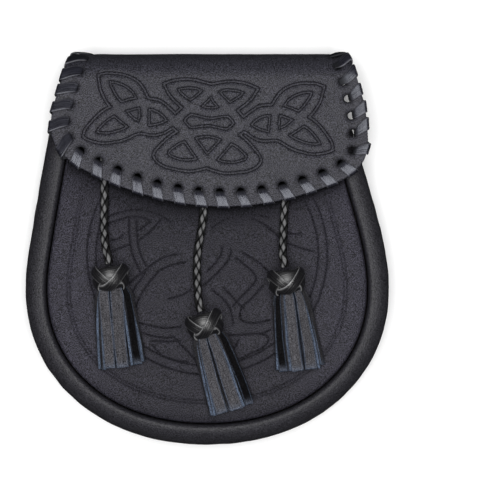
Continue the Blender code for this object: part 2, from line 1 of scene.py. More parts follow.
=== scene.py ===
"""A leather sporran pouch drawn round its solid model, in metres, with +Z out of the front."""
import json
import math

import bpy
import numpy as np
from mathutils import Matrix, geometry

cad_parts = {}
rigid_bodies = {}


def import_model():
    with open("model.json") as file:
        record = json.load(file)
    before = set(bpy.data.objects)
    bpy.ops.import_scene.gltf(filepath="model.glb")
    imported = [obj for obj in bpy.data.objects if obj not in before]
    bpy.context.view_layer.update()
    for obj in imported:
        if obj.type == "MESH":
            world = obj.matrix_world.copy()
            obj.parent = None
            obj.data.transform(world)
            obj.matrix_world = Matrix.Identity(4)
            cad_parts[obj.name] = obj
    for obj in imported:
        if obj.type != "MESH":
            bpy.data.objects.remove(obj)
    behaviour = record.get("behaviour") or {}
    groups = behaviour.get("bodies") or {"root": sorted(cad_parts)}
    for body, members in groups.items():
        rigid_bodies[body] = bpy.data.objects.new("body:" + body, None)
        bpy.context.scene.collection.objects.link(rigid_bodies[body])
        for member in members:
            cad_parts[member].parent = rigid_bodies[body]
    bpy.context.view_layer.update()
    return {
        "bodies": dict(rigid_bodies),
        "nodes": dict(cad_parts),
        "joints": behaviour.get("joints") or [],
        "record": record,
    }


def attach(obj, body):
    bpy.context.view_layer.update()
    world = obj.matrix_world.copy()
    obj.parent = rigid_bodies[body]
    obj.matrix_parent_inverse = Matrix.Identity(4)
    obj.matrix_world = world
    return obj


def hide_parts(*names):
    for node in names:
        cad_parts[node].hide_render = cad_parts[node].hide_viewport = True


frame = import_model()

# ---------------------------------------------------------------- surface, light and view
# The pouch lies on its back on a plain pale surface and is seen from straight above. One large
# soft box hangs overhead, so all that lies flat is lit evenly and catches a soft shine, and the
# rolled top and the outer sides stay dark.
VIEW_CENTRE = (0.0226, -0.0016)
VIEW_DISTANCE, VIEW_WIDTH = 1.10, 0.263
FRONT_LEVEL = 0.037
SENSOR_WIDTH = 36.0                       # in millimetres, as the lens is
SURFACE_HALF, SURFACE_TONE, SURFACE_MOTTLE = 3.0, 0.92, 0.02
SOFT_BOX_PLACE, SOFT_BOX_AIM = (0.0, -0.05, 1.70), (0.0, 0.0, 0.02)
SOFT_BOX_SIDE, SOFT_BOX_POWER = 1.3, 50.0
SURROUND_STRENGTH = 0.02


def new_material(name):
    """A material with its tree, its Principled shader and the Object coordinates of its piece."""
    material = bpy.data.materials.new(name)
    material.use_nodes = True
    tree = material.node_tree
    place = tree.nodes.new("ShaderNodeTexCoord").outputs["Object"]
    return material, tree, tree.nodes["Principled BSDF"], place


def feed(tree, socket, value):
    """Join a socket to another, or set its own value."""
    if isinstance(value, bpy.types.NodeSocket):
        tree.links.new(value, socket)
    else:
        socket.default_value = value


def calc(tree, operation, first, second=0.0, third=0.0):
    """The output of a Math node on up to three values."""
    node = tree.nodes.new("ShaderNodeMath")
    node.operation = operation
    for socket, value in zip(node.inputs, (first, second, third)):
        feed(tree, socket, value)
    return node.outputs[0]


def noise(tree, place, scale, detail=3.0, distortion=0.0):
    """The value of a Noise texture, about 0.5 on average."""
    node = tree.nodes.new("ShaderNodeTexNoise")
    feed(tree, node.inputs["Vector"], place)
    node.inputs["Scale"].default_value = scale
    node.inputs["Detail"].default_value = detail
    node.inputs["Distortion"].default_value = distortion
    return node.outputs[0]


pale, pale_tree, pale_shader, pale_place = new_material("pale_surface")
feed(pale_tree, pale_shader.inputs["Base Color"],
     calc(pale_tree, "MULTIPLY_ADD", noise(pale_tree, pale_place, 40.0), SURFACE_MOTTLE,
          SURFACE_TONE))
pale_shader.inputs["Roughness"].default_value = 0.9
pale_shader.inputs["Specular IOR Level"].default_value = 0.1
floor_mesh = bpy.data.meshes.new("pale_surface")
floor_mesh.from_pydata([(SURFACE_HALF * x, SURFACE_HALF * y, 0.0)
                        for x, y in ((-1, -1), (1, -1), (1, 1), (-1, 1))], [], [(0, 1, 2, 3)])
floor_mesh.materials.append(pale)
floor = bpy.data.objects.new("pale_surface", floor_mesh)
bpy.context.scene.collection.objects.link(floor)
floor.visible_glossy = False      # so that the outer edges of the leather stay dark

soft_box = bpy.data.lights.new("overhead_soft_box", "AREA")
soft_box.size, soft_box.energy = SOFT_BOX_SIDE, SOFT_BOX_POWER
lamp = bpy.data.objects.new("overhead_soft_box", soft_box)
bpy.context.scene.collection.objects.link(lamp)
lamp.location = SOFT_BOX_PLACE
to_aim = np.subtract(SOFT_BOX_AIM, SOFT_BOX_PLACE)
lamp.rotation_euler = (math.atan2(math.hypot(to_aim[0], to_aim[1]), -to_aim[2]), 0.0,
                       math.atan2(to_aim[1], to_aim[0]) - math.pi / 2)
world = bpy.data.worlds.new("soft_white")
world.use_nodes = True
world.node_tree.nodes["Background"].inputs["Color"].default_value = (1.0, 1.0, 1.0, 1.0)
world.node_tree.nodes["Background"].inputs["Strength"].default_value = SURROUND_STRENGTH
bpy.context.scene.world = world
bpy.context.scene.view_settings.view_transform = "Standard"

camera = bpy.data.cameras.new("camera")
camera.sensor_width = SENSOR_WIDTH
camera.lens = SENSOR_WIDTH * VIEW_DISTANCE / VIEW_WIDTH
viewer = bpy.data.objects.new("camera", camera)
viewer.location = (*VIEW_CENTRE, FRONT_LEVEL + VIEW_DISTANCE)
bpy.context.scene.collection.objects.link(viewer)
bpy.context.scene.camera = viewer

# ---------------------------------------------------------------- back panel
# The flat back, cut from one sheet of firm leather 2.2 mm thick, dyed black on the outside and
# left fibrous inside. It is sewn to the side strip along a line about 5 mm in from its edge.
BODY_HALF_WIDTH = 0.0963
BODY_BOTTOM_Y = -0.1047
WIDEST_Y = -0.0216
BOTTOM_POWER = 2.12
SIDE_TAPER, SIDE_ROUND = 0.25, 0.023
LEAN_RATE, LEAN_START_Y, LEAN_ROUND = 0.03, 0.005, 0.010
FRONT_HEIGHT, FRONT_SLOPE = 0.0334, -0.036
BACK_SLOPE, BACK_EDGE_Y = 0.052, -0.0961
GAP = 0.0003
PANEL_THICKNESS = 0.0022
RIM_WIDTH = 0.0116
BACK_PANEL_REACH = 0.0030
BACK_PANEL_TOP_Y = 0.088
MOUTH_CORNER = 0.007
PANEL_CROWN = 0.0008
PANEL_MIDDLE = np.array((0.0, -0.010))
PATH_SPACING, POINT_SPACING = 0.0008, 0.0016
EDGE_ROUNDING = 0.0006
RING_SHARES = (0.05, 0.2, 0.4, 0.6, 0.8, 0.93, 1.0)
BLACKENED_ROWS = 7                        # how far the dye goes round the back panel's edge
SEAM_INSET, SEAM_PITCH, SEAM_END = 0.0048, 0.0036, 0.012
SEAM_LOWEST = 0.00056                     # its stitches stay clear of what the pouch lies on
STITCH_LENGTH, STITCH_RADIUS = 0.0029, 0.00034


def front_height(y):
    """Height of the front panel's edge: a plane that slopes down to the top."""
    return FRONT_HEIGHT + FRONT_SLOPE * y


def back_height(y):
    """Height of the back panel's outer face: a plane that rises from the lower edge."""
    return BACK_SLOPE * (y - BACK_EDGE_Y)


def body_sides(y):
    """Left and right x of the body at y: half width less a softly started taper, about a middle
    that leans to the left."""
    rise = np.maximum(y - WIDEST_Y, 0.0)
    half = BODY_HALF_WIDTH - SIDE_TAPER * (np.hypot(rise, SIDE_ROUND) - SIDE_ROUND)
    lean = y - LEAN_START_Y
    middle = -LEAN_RATE * (lean + np.hypot(lean, LEAN_ROUND))
    return middle - half, middle + half


def oval(value, power):
    """A cosine or sine made that of the oval |x|^power + |y|^power = 1."""
    return np.sign(value) * np.abs(value) ** (2 / power)


def body_path(top_y):
    """The outline from the upper left round the bottom to the upper right: tapered sides above the
    widest line, and below it a superellipse |x/a|^p + |y/b|^p = 1."""
    y = np.linspace(top_y, WIDEST_Y, 80, endpoint=False)
    left, right = body_sides(y)
    turn = np.linspace(0.0, np.pi, 241)
    across, down = -oval(np.cos(turn), BOTTOM_POWER), oval(np.sin(turn), BOTTOM_POWER)
    middle = sum(body_sides(WIDEST_Y)) / 2
    x = BODY_HALF_WIDTH * across + middle * (1 - down)
    bottom = np.stack([x, WIDEST_Y - (WIDEST_Y - BODY_BOTTOM_Y) * down], 1)
    return np.vstack([np.stack([left, y], 1), bottom, np.stack([right, y], 1)[::-1]])


def lengths(line):
    """The length along a line up to each of its points."""
    return np.concatenate([[0.0], np.cumsum(np.linalg.norm(np.diff(line, axis=0), axis=1))])


def at_lengths(line, steps, wanted):
    """Points of a line at the wanted lengths, where its own lie at the lengths of the steps."""
    return np.stack([np.interp(wanted, steps, column) for column in line.T], -1)


def resampled(line, spacing, closed=False):
    """Points at an even spacing along a line, interpolated on its own length."""
    ends = np.vstack([line, line[:1]]) if closed else line
    steps = lengths(ends)
    count = max(int(round(steps[-1] / spacing)), 2)
    even = at_lengths(ends, steps, np.linspace(0.0, steps[-1], count + 1))
    return even[:-1] if closed else even


def unit(vectors):
    """Vectors at length 1, along the last axis."""
    return vectors / np.linalg.norm(vectors, axis=-1, keepdims=True)


def sideways(line, closed=False):
    """Unit normals to the right of a flat line, from the points before and after each one."""
    ahead = np.roll(line, -1, 0) - np.roll(line, 1, 0) if closed else np.gradient(line, axis=0)
    ahead = unit(ahead)
    return np.stack([ahead[:, 1], -ahead[:, 0]], 1)


def panel_outline(inset, top_y, spacing):
    """A closed outline inside the body's: its sides moved in, quarter-oval top corners and a
    straight top, at an even spacing."""
    path = resampled(body_path(top_y - MOUTH_CORNER), PATH_SPACING)
    side = path - sideways(path) * inset
    turn = np.linspace(0.0, np.pi / 2, 9)[1:]
    left, right = (end + np.stack([way * MOUTH_CORNER * (1 - np.cos(turn)),
                                   (top_y - end[1]) * np.sin(turn)], 1)
                   for end, way in ((side[0], 1), (side[-1], -1)))
    return resampled(np.vstack([left[::-1], side, right]), spacing, True)


def grid_faces(rows, columns, wrapped):
    """Quads between neighbouring rows of a grid; wrapped joins the last column to the first."""
    row, column = np.meshgrid(np.arange(rows - 1), np.arange(columns if wrapped else columns - 1),
                              indexing="ij")
    after = (column + 1) % columns
    return np.stack([row * columns + column, row * columns + after,
                     (row + 1) * columns + after, (row + 1) * columns + column], -1).reshape(-1, 4)


def circle(count):
    """Points round a circle of radius 1, from the right of it counter-clockwise."""
    turn = np.linspace(0.0, 2 * np.pi, count, endpoint=False)
    return np.stack([np.cos(turn), np.sin(turn)], 1)


def ring(count, start=0):
    """The numbers of a ring's points, and of the point after each."""
    return start + np.arange(count), start + (np.arange(count) + 1) % count


def capped(grid):
    """Points and faces of a wrapped grid whose end rows each run to a pole in their middle."""
    rows, columns = grid.shape[:2]
    points = np.vstack([grid.reshape(-1, 3), grid[0].mean(0), grid[-1].mean(0)])
    here, after = ring(columns)
    last = (rows - 1) * columns
    pole = np.full(columns, rows * columns)
    fans = np.vstack([np.stack([after, here, pole], 1),
                      np.stack([last + here, last + after, pole + 1], 1)])
    return points, [grid_faces(rows, columns, True), fans]


def signed_volume(points, faces):
    """Volume inside a closed mesh: the sum of the tetrahedra from the origin to its triangles."""
    total = 0.0
    for group in faces:
        for n in range(1, group.shape[1] - 1):
            a, b, c = points[group[:, 0]], points[group[:, n]], points[group[:, n + 1]]
            total += np.einsum("ij,ij->i", a, np.cross(b, c)).sum() / 6
    return total


def add_piece(name, points, faces, materials, closed=True, values=None, kinds=None):
    """A mesh piece from an array of points and arrays of faces with equal corner counts. A closed
    piece that came out inside out is turned. values are attributes with one number a point, and
    kinds the material's number for each face."""
    if closed and signed_volume(points, faces) < 0.0:
        faces = [group[:, ::-1] for group in faces]
    corners = np.concatenate([group.ravel() for group in faces])
    sizes = np.concatenate([np.full(len(group), group.shape[1]) for group in faces])
    mesh = bpy.data.meshes.new(name)
    mesh.vertices.add(len(points))
    mesh.vertices.foreach_set("co", np.ascontiguousarray(points, dtype=np.float32).ravel())
    mesh.loops.add(len(corners))
    mesh.loops.foreach_set("vertex_index", corners.astype(np.int32))
    mesh.polygons.add(len(sizes))
    starts = np.concatenate([[0], np.cumsum(sizes)[:-1]])
    mesh.polygons.foreach_set("loop_start", starts.astype(np.int32))
    mesh.update(calc_edges=True)
    mesh.validate()
    mesh.polygons.foreach_set("use_smooth", np.ones(len(sizes), dtype=bool))
    if kinds is not None:
        mesh.polygons.foreach_set("material_index", np.asarray(kinds, dtype=np.int32))
    for key, numbers in (values or {}).items():
        layer = mesh.attributes.new(key, "FLOAT", "POINT")
        layer.data.foreach_set("value", np.ascontiguousarray(numbers, dtype=np.float32))
    for material in materials:
        mesh.materials.append(material)
    piece = bpy.data.objects.new(name, mesh)
    bpy.context.scene.collection.objects.link(piece)
    return piece


def fit(piece, slot, *nodes):
    """The piece belongs to the pouch's one body and stands for the solid model's nodes, which are
    hidden. The slot is not used."""
    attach(piece, "root")
    if nodes:
        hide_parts(*nodes)
    return piece


def about(tree, value, spread, middle=1.0):
    """A number that varies with a noise: middle + spread x (value - 0.5)."""
    return calc(tree, "MULTIPLY_ADD", calc(tree, "SUBTRACT", value, 0.5), spread, middle)


def tinted(tree, colour, tone):
    """A colour times a number."""
    node = tree.nodes.new("ShaderNodeVectorMath")
    node.operation = "SCALE"
    node.inputs[0].default_value = colour
    feed(tree, node.inputs["Scale"], tone)
    return node.outputs[0]


def add_relief(tree, shader, height, depth, strength=1.0):
    """Fine relief in a finish: its height from 0 to 1 stands for the depth."""
    bump = tree.nodes.new("ShaderNodeBump")
    bump.inputs["Distance"].default_value = depth
    bump.inputs["Strength"].default_value = strength
    feed(tree, bump.inputs["Height"], height)
    feed(tree, shader.inputs["Normal"], bump.outputs[0])


def leather(name, colour, roughness, grain=0.0008, relief=0.00010, mottle=0.16, specular=0.30,
            cut_colour=(0.02, 0.02, 0.02), speckle=6.5, fibres=0.0, sheen=0.0, shine=(1, 1, 1)):
    """Leather on Object coordinates. Its height is 0.55 of fine noise less 0.6 of a cell pattern
    of the grain's size, and fibres of a strip run along the attribute along, side by side in the
    attribute across. Its colour is the base times 1 plus or minus the mottle of a slow noise,
    speckled with the fine noise, at a twelfth and rougher where the attribute of pressed marks and
    painted shade is 1, lighter where the attribute of wear and painted highlights is 1, and the
    cut colour where cut is 1. Its shine has a tint of its own."""
    material, tree, shader, place = new_material(name)
    cells = tree.nodes.new("ShaderNodeTexVoronoi")
    cells.inputs["Scale"].default_value = 1.0 / grain
    feed(tree, cells.inputs["Vector"], place)
    pores = noise(tree, place, 1.5 / grain, 2.0)
    slow = noise(tree, place, 45.0, 4.0, 0.4)
    patches = noise(tree, place, 260.0, 3.0)
    height = calc(tree, "MULTIPLY_ADD", cells.outputs["Distance"], -0.6,
                  calc(tree, "MULTIPLY", pores, 0.55))

    def marked(key):
        """The number that a piece holds for each of its points under this name."""
        node = tree.nodes.new("ShaderNodeAttribute")
        node.attribute_name = key
        return node.outputs["Fac"]

    crease = calc(tree, "MAXIMUM", about(tree, pores, speckle), 0.1)
    lines = 0.0
    if fibres:
        strip = tree.nodes.new("ShaderNodeCombineXYZ")
        feed(tree, strip.inputs[0], calc(tree, "MULTIPLY", marked("across"), 13.0))
        feed(tree, strip.inputs[1], calc(tree, "MULTIPLY", marked("along"), 110.0))
        lines = calc(tree, "SUBTRACT", noise(tree, strip.outputs[0], 1.0, 4.0, 0.3), 0.5)
        height = calc(tree, "MULTIPLY_ADD", lines, 2.6, calc(tree, "MULTIPLY", height, 0.3))
        crease = calc(tree, "MULTIPLY", crease, calc(tree, "MULTIPLY_ADD", lines, fibres, 1.0))
    add_relief(tree, shader, height, relief, 0.9)
    fine = about(tree, patches, 2.0 * mottle)
    worn_and_highlit = calc(tree, "MULTIPLY", marked("wear"), calc(tree, "MULTIPLY_ADD", patches, 1.2, 0.2))
    tone = about(tree, slow, 3.0 * mottle)
    # painted shade darkens the colour where the attribute of pressed marks and shade is high; real
    # wear and painted highlights lighten it
    for factor in (fine, crease, calc(tree, "MULTIPLY_ADD", marked("press"), -0.92, 1.0),
                   calc(tree, "MULTIPLY_ADD", worn_and_highlit, 0.9, 1.0)):
        tone = calc(tree, "MULTIPLY", tone, factor)
    mix = tree.nodes.new("ShaderNodeMix")
    mix.data_type = "RGBA"
    feed(tree, mix.inputs[0], marked("cut"))
    feed(tree, mix.inputs[6], tinted(tree, colour, tone))
    feed(tree, mix.inputs[7], tinted(tree, cut_colour, calc(tree, "MULTIPLY", fine, crease)))
    feed(tree, shader.inputs["Base Color"], mix.outputs[2])
    rough = calc(tree, "MULTIPLY_ADD", marked("press"), 0.45,
                 about(tree, patches, 0.25, roughness))
    feed(tree, shader.inputs["Roughness"], calc(tree, "MULTIPLY_ADD", lines, 0.35, rough))
    shader.inputs["Specular IOR Level"].default_value = specular
    shader.inputs["Specular Tint"].default_value = (*shine, 1.0)
    shader.inputs["Sheen Weight"].default_value = sheen
    return material


def thread_finish(name, colour):
    """Waxed thread: a dark colour with a fine twisted relief from noise."""
    material, tree, shader, place = new_material(name)
    twist = noise(tree, place, 3500.0, 2.0)
    feed(tree, shader.inputs["Base Color"],
         tinted(tree, colour, calc(tree, "MULTIPLY_ADD", twist, 0.8, 0.6)))
    add_relief(tree, shader, twist, 0.00005)
    shader.inputs["Roughness"].default_value = 0.5
    return material


def plate(outline, middle, rows):
    """Rings of a closed outline. Each row is (inset, share, height): the outline moved in by the
    inset, then drawn to the share of its size about the middle."""
    inset, share, height = np.array(rows).T[:, :, None, None]
    flat = outline - sideways(outline, True) * inset
    flat = middle + (flat - middle) * share
    return np.concatenate([flat, np.broadcast_to(height, flat.shape[:2] + (1,))], 2)


def edge_rows(thickness, rounding, count=5):
    """Rows of a plate's rim from its lower face to its upper one, each corner a quarter circle."""
    turn = np.linspace(0.0, np.pi / 2, count)
    inset = rounding * (1 - np.sin(turn))
    height = thickness / 2 - rounding + rounding * np.cos(turn)
    lower = [(i, 1.0, -h) for i, h in zip(inset, height)]
    return lower + [(i, 1.0, h) for i, h in zip(inset[::-1], height[::-1])]


def add_stitches(name, places, ahead, length):
    """Thread stitches on the back: each is a short tube of eight sides that dips and thins at both
    ends. Its middle stands radius x (0.55 - 1.5 (2s)^4) over the leather, s from -1/2 to 1/2."""
    s = np.linspace(-0.5, 0.5, 7)
    up = unit(np.broadcast_to((0.0, BACK_SLOPE, -1.0), places.shape))
    across = np.cross(up, ahead)
    lift = STITCH_RADIUS * (0.55 - 1.5 * (2 * s) ** 4)
    width = STITCH_RADIUS * (1.0 - 0.5 * (2 * s) ** 4)
    side, rise = circle(8).T[:, None, :, None] * width[:, None, None]
    grids = (places[:, None, None] + ahead[:, None, None] * (s * length)[:, None, None]
             + (across[:, None, None] * side + up[:, None, None] * (rise + lift[:, None, None])))
    points = np.concatenate([grids.reshape(len(places), -1, 3), grids[:, :1].mean(2),
                             grids[:, -1:].mean(2)], 1)
    shift = (np.arange(len(places)) * points.shape[1])[:, None, None]
    faces = [(group + shift).reshape(-1, group.shape[1]) for group in capped(grids[0])[1]]
    return add_piece(name, points.reshape(-1, 3), faces, [black_thread])


panel_black = leather("panel_black", (0.0152, 0.0145, 0.0198), 0.50, relief=0.00026, mottle=0.07,
                      specular=0.085)
back_black = leather("back_black", (0.022, 0.022, 0.025), 0.60, relief=0.00014, mottle=0.10,
                     speckle=3.0)
flesh_side = leather("flesh_side", (0.060, 0.052, 0.046), 0.90, grain=0.0005, relief=0.00020,
                     mottle=0.22, specular=0.15, speckle=3.0, sheen=0.2)
black_thread = thread_finish("black_thread", (0.035, 0.035, 0.038))

back_edge = panel_outline(RIM_WIDTH - BACK_PANEL_REACH, BACK_PANEL_TOP_Y, POINT_SPACING)
half = PANEL_THICKNESS / 2
inner_rows = [(0.004, share) for share in RING_SHARES]
back_rows = ([(i, share, -half) for i, share in inner_rows]
             + edge_rows(PANEL_THICKNESS, EDGE_ROUNDING)
             + [(i, share, half) for i, share in inner_rows[::-1]])
back_grid = plate(back_edge, PANEL_MIDDLE, back_rows)
back_grid[..., 2] += back_height(back_grid[..., 1]) + half
row_kinds = np.arange(len(back_rows) - 1) >= len(inner_rows) + BLACKENED_ROWS
back_kinds = np.repeat([*row_kinds, 0, 1], len(back_edge))
fit(add_piece("back_leather", *capped(back_grid), [back_black, flesh_side], kinds=back_kinds),
    "panel_leather", "back_panel")

seam = body_path(BACK_PANEL_TOP_Y - SEAM_END)
seam = resampled(seam - sideways(seam) * (RIM_WIDTH - BACK_PANEL_REACH + SEAM_INSET), SEAM_PITCH)
seam_ahead = unit(np.gradient(seam, axis=0))
seam_ahead = unit(np.column_stack([seam_ahead, seam_ahead[:, 1] * BACK_SLOPE]))
seam_places = np.column_stack([seam, np.maximum(back_height(seam[:, 1]), SEAM_LOWEST)])
fit(add_stitches("back_seam_stitches", seam_places, seam_ahead, STITCH_LENGTH),
    "panel_leather")

# ---------------------------------------------------------------- gusset
# One strip of softer leather, 1.8 mm thick, round the sides and bottom. Its front edge is turned
# down into the seam beside the front panel, so a fat rounded rim stands round the front; its
# back edge is lapped over the back panel inside the pouch.
GUSSET_THICKNESS = 0.0018
LIP_DEPTH, LIP_CENTRE = 0.0050, 0.00125
RIM_CREST = (0.0021, 0.0006)
RIM_ROUND_DROP, BACK_ROUND = 0.0080, 0.0070
RIM_STRAIGHTER_FROM_Y, RIM_STRAIGHTER_OVER = -0.04, 0.05
BACK_LAP_OUT, BACK_LAP_IN = 0.0034, -0.0040
MOUTH_Y = 0.084
GUSSET_SPACING, PROFILE_SPACING = 0.0014, 0.0011
GUSSET_BUMPS, GUSSET_BUMP_SIZE = 0.00008, 0.011


def ripple(u, v, size, seed):
    """A smooth unevenness of about +-1: twelve waves of random direction and phase, each about
    the given size long."""
    draw = np.random.default_rng(seed)
    turn = draw.uniform(0, 2 * np.pi, 12)
    rate = 2 * np.pi / (size * draw.uniform(0.6, 1.8, 12))
    phase = draw.uniform(0, 2 * np.pi, 12)
    u, v = np.asarray(u)[..., None], np.asarray(v)[..., None]
    return np.sin((u * np.cos(turn) + v * np.sin(turn)) * rate + phase).sum(-1) / 3.5


def ramp(value, length):
    """From 0 to 1 as the value goes from 0 to a length."""
    return np.clip(value / length, 0.0, 1.0)


def bell(value, width):
    """exp(-(value / width)^2): 1 at 0 and falling off on both sides."""
    return np.exp(-(value / width) ** 2)


def gusset_profile(y):
    """The strip's middle layer across each place, (outward from the seam, height): the lip, a
    quarter oval over the rim that is straighter at the bottom, the wall, a quarter oval into the
    back and the lap."""
    front, back = front_height(y)[:, None], back_height(y)[:, None]
    wall = RIM_WIDTH - GUSSET_THICKNESS / 2
    lap = back + PANEL_THICKNESS + GAP + GUSSET_THICKNESS / 2
    rim = np.linspace(0.0, np.pi / 2, 16)
    turn = np.linspace(0.0, np.pi / 2, 10)
    below = np.array([-LIP_DEPTH, -0.0034, -0.0016, -0.0001])
    low = ramp(RIM_STRAIGHTER_FROM_Y - y[:, None], RIM_STRAIGHTER_OVER)
    crest, straight = RIM_CREST[0] + 0.0001 * low, 0.52 + 0.83 * low
    lip = LIP_CENTRE + np.array([0.0, 0.0, 0.0, 0.0003])
    behind = np.append(BACK_LAP_OUT + (wall - BACK_LAP_OUT) * np.cos(turn), (0.0010, BACK_LAP_IN))
    reach = np.concatenate([np.broadcast_to(lip, (len(y), len(lip))),
                            crest + (wall - crest) * np.sin(rim),
                            np.broadcast_to(behind, (len(y), len(behind)))], 1)
    rounded = (RIM_ROUND_DROP + RIM_CREST[1]) * np.cos(rim) ** straight
    heights = np.concatenate([front + below, front - RIM_ROUND_DROP + rounded,
                              lap + BACK_ROUND * (1 - np.sin(turn)), lap, lap], 1)
    return reach, heights


gusset_black = leather("gusset_black", (0.0150, 0.0146, 0.0176), 0.45, grain=0.0009,
                       relief=0.00024, mottle=0.08, specular=0.16, speckle=4.0)
rim_path = resampled(body_path(MOUTH_Y), GUSSET_SPACING)
rim_out = sideways(rim_path)
reach, height = gusset_profile(rim_path[:, 1] - rim_out[:, 1] * RIM_WIDTH)
profile_place = np.arange(reach.shape[1])
uneven = ripple(np.arange(len(rim_path))[:, None] * GUSSET_SPACING,
                profile_place[None] * PROFILE_SPACING, GUSSET_BUMP_SIZE, 3) * GUSSET_BUMPS
off_the_edges = ramp(profile_place - 5, 4) * ramp(reach.shape[1] - 6 - profile_place, 4)
reach = reach + uneven * off_the_edges
gusset_grid = np.concatenate([
    rim_path[:, None] + rim_out[:, None] * (reach - RIM_WIDTH)[..., None], height[..., None]], 2)
# lighter along the rim's crest, beside the groove
crest_lighter = 0.42 * bell(profile_place - 6.5, 3.0)
gusset = add_piece("gusset_strip", gusset_grid.reshape(-1, 3),
                   [grid_faces(*gusset_grid.shape[:2], False)],
                   [gusset_black, flesh_side], closed=False,
                   values={"wear": np.broadcast_to(crest_lighter, reach.shape).ravel()})
wall_thickness = gusset.modifiers.new("leather", "SOLIDIFY")
wall_thickness.thickness = GUSSET_THICKNESS
wall_thickness.offset = 0.0
wall_thickness.use_even_offset = True
wall_thickness.material_offset = 1
fit(gusset, "gusset_leather", "gusset")

# ---------------------------------------------------------------- front panel
# A sheet 2.2 mm thick, its edge turned down into the seam. A round interlace inside two rings, and
# a double line round its border, are pressed into it with a cold die, so they show only as shallow
# grooves, darkened in colour partly as the die's burnish and partly as painted shade in the
# grooves.
SQUARE = 0.000526            # the patterns are drawn on squared paper
PAPER_MIDDLE = (207.0, 247.0)
PRESS_WIDTH, PRESS_DEPTH = 0.00076, 0.00020
PRESS_SPACING, FRONT_SPACING = 0.0007, 0.0028
ROUNDEL_MIDDLE = (207.0, 254.0)
ROUNDEL_RINGS = (120.5, 111.5)
BORDER_INSETS, BORDER_SHARE = (0.0108, 0.0124), 0.62
EDGE_TURN = 0.0016                        # how far in from its edge the panel turns down
CROWN_WIDTH, FRONT_UNEVENNESS = 0.022, 0.00010
# how dark the pressed lines are coloured: the die's burnish and painted shade in the grooves
PRESS_DARKNESS = 0.64
# open strokes of the interlace, in squares: x to the right and y down
ROUNDEL_STROKES = (
    ((104, 219), (111, 215), (120, 212), (130, 209.7), (140, 209.5), (150, 211.5), (160, 215),
     (169, 221)),
    ((106, 226), (111, 222), (120, 219.5), (128, 217), (136, 216.3), (144, 218), (150, 221)),
    ((128.5, 219), (129, 235), (130.5, 248), (133.5, 258), (138, 268), (141, 274)),
    ((136, 221), (136.5, 233), (138, 246), (141, 256), (146, 266)),
    ((111, 240), (118, 239), (122, 235)),
    ((112, 251), (117, 249), (125, 246), (130, 244)),
    ((160, 220), (152, 229), (143, 237), (137, 241)),
    ((150, 221), (143, 227), (137, 231)),
    ((129, 283), (136, 277), (145, 270), (155, 262), (165, 257), (176, 254)),
    ((150, 281), (155, 275), (160, 270), (175, 264), (185, 262)),
    ((131, 295), (136, 285), (141, 279), (145, 272)),
    ((135, 308), (140, 296), (145, 288), (150, 281)),
    ((139, 323), (147, 325), (158, 327.5), (168, 328), (180, 327)),
    ((143, 333), (152, 336), (165, 338), (173, 337)),
    ((152, 341), (165, 341.5), (180, 341)),
    ((152, 345), (158, 352), (165, 357), (178, 361), (188, 362)),
    ((174, 337), (180, 344), (188, 352), (196, 361)),
    ((168, 299), (182, 295), (190, 290)),
    ((231, 250), (230, 256), (226, 263), (220, 270), (213, 277), (205, 284)),
    ((222, 247), (221, 254), (216, 262), (207, 271)),
    ((243, 253), (252, 258), (262, 265), (270, 274)),
    ((238, 259), (245, 265), (252, 271), (256, 279), (250, 288), (240, 298), (233, 306)),
    ((262, 287), (250, 300), (242, 307), (240, 315), (241, 320), (250, 323), (262, 322),
     (270, 320)),
    ((212, 290), (222, 298), (229, 307), (232, 317), (233, 323)),
    ((226, 290), (235, 300), (243, 308)),
    ((229, 335), (240, 335), (250, 334), (262, 333.5), (270, 330)),
    ((262, 334), (268, 337), (267, 344), (260, 349), (250, 354), (240, 358.5), (229, 361)),
    ((238, 341), (234, 348), (228, 354)),
    ((285, 232), (295, 234), (301, 233)),
    ((287, 243), (296, 246), (304, 249), (312, 251)),
    ((252, 218), (264, 224), (275, 233), (283, 243)),
    ((214, 226), (226, 219), (240, 215), (254, 214), (268, 217)),
)


def spline(points, per=6):
    """A smooth line through points, each piece cut into per steps: a cubic that has, at each
    point, half the step from the point before to the point after as its slope."""
    points = np.asarray(points, dtype=float)
    before, after = 2 * points[0] - points[1], 2 * points[-1] - points[-2]
    p = np.vstack([before, points, after])
    t = np.linspace(0.0, 1.0, per, endpoint=False)[:, None, None]
    a, b, c, d = p[:-3], p[1:-2], p[2:-1], p[3:]
    curve = 0.5 * (2 * b + (c - a) * t + (2 * a - 5 * b + 4 * c - d) * t ** 2
                   + (3 * b - a - 3 * c + d) * t ** 3)
    return np.vstack([curve.transpose(1, 0, 2).reshape(-1, points.shape[1]), points[-1:]])


def on_pouch(squares):
    """Places on the squared paper as x and y on the pouch."""
    return (np.asarray(squares) - PAPER_MIDDLE) * (SQUARE, -SQUARE)


def distance_to(points, line, closed, reach):
    """Distance of flat points from a line of straight pieces, never more than the reach."""
    result = np.full(len(points), reach)
    start = line if closed else line[:-1]
    along = (np.roll(line, -1, 0) if closed else line[1:]) - start
    near = np.all((points > line.min(0) - reach) & (points < line.max(0) + reach), 1)
    near = np.flatnonzero(near)
    for block in np.array_split(near, len(near) // 4000 + 1):
        gap = points[block][:, None] - start
        share = np.clip((gap * along).sum(2) / np.maximum((along ** 2).sum(1), 1e-18), 0.0, 1.0)
        nearest = np.linalg.norm(gap - along * share[..., None], axis=2).min(1)
        result[block] = np.minimum(nearest, reach)
    return result


def inside(points, loop):
    """Which flat points lie within a closed loop, by counting the crossings to their right."""
    x, y = points.T[:, :, None]
    ax, ay = loop.T
    bx, by = np.roll(loop, -1, 0).T
    crosses = (ay > y) != (by > y)
    rise = np.where(by == ay, 1e-12, by - ay)
    return (crosses & (x < (bx - ax) * (y - ay) / rise + ax)).sum(1) % 2 == 1


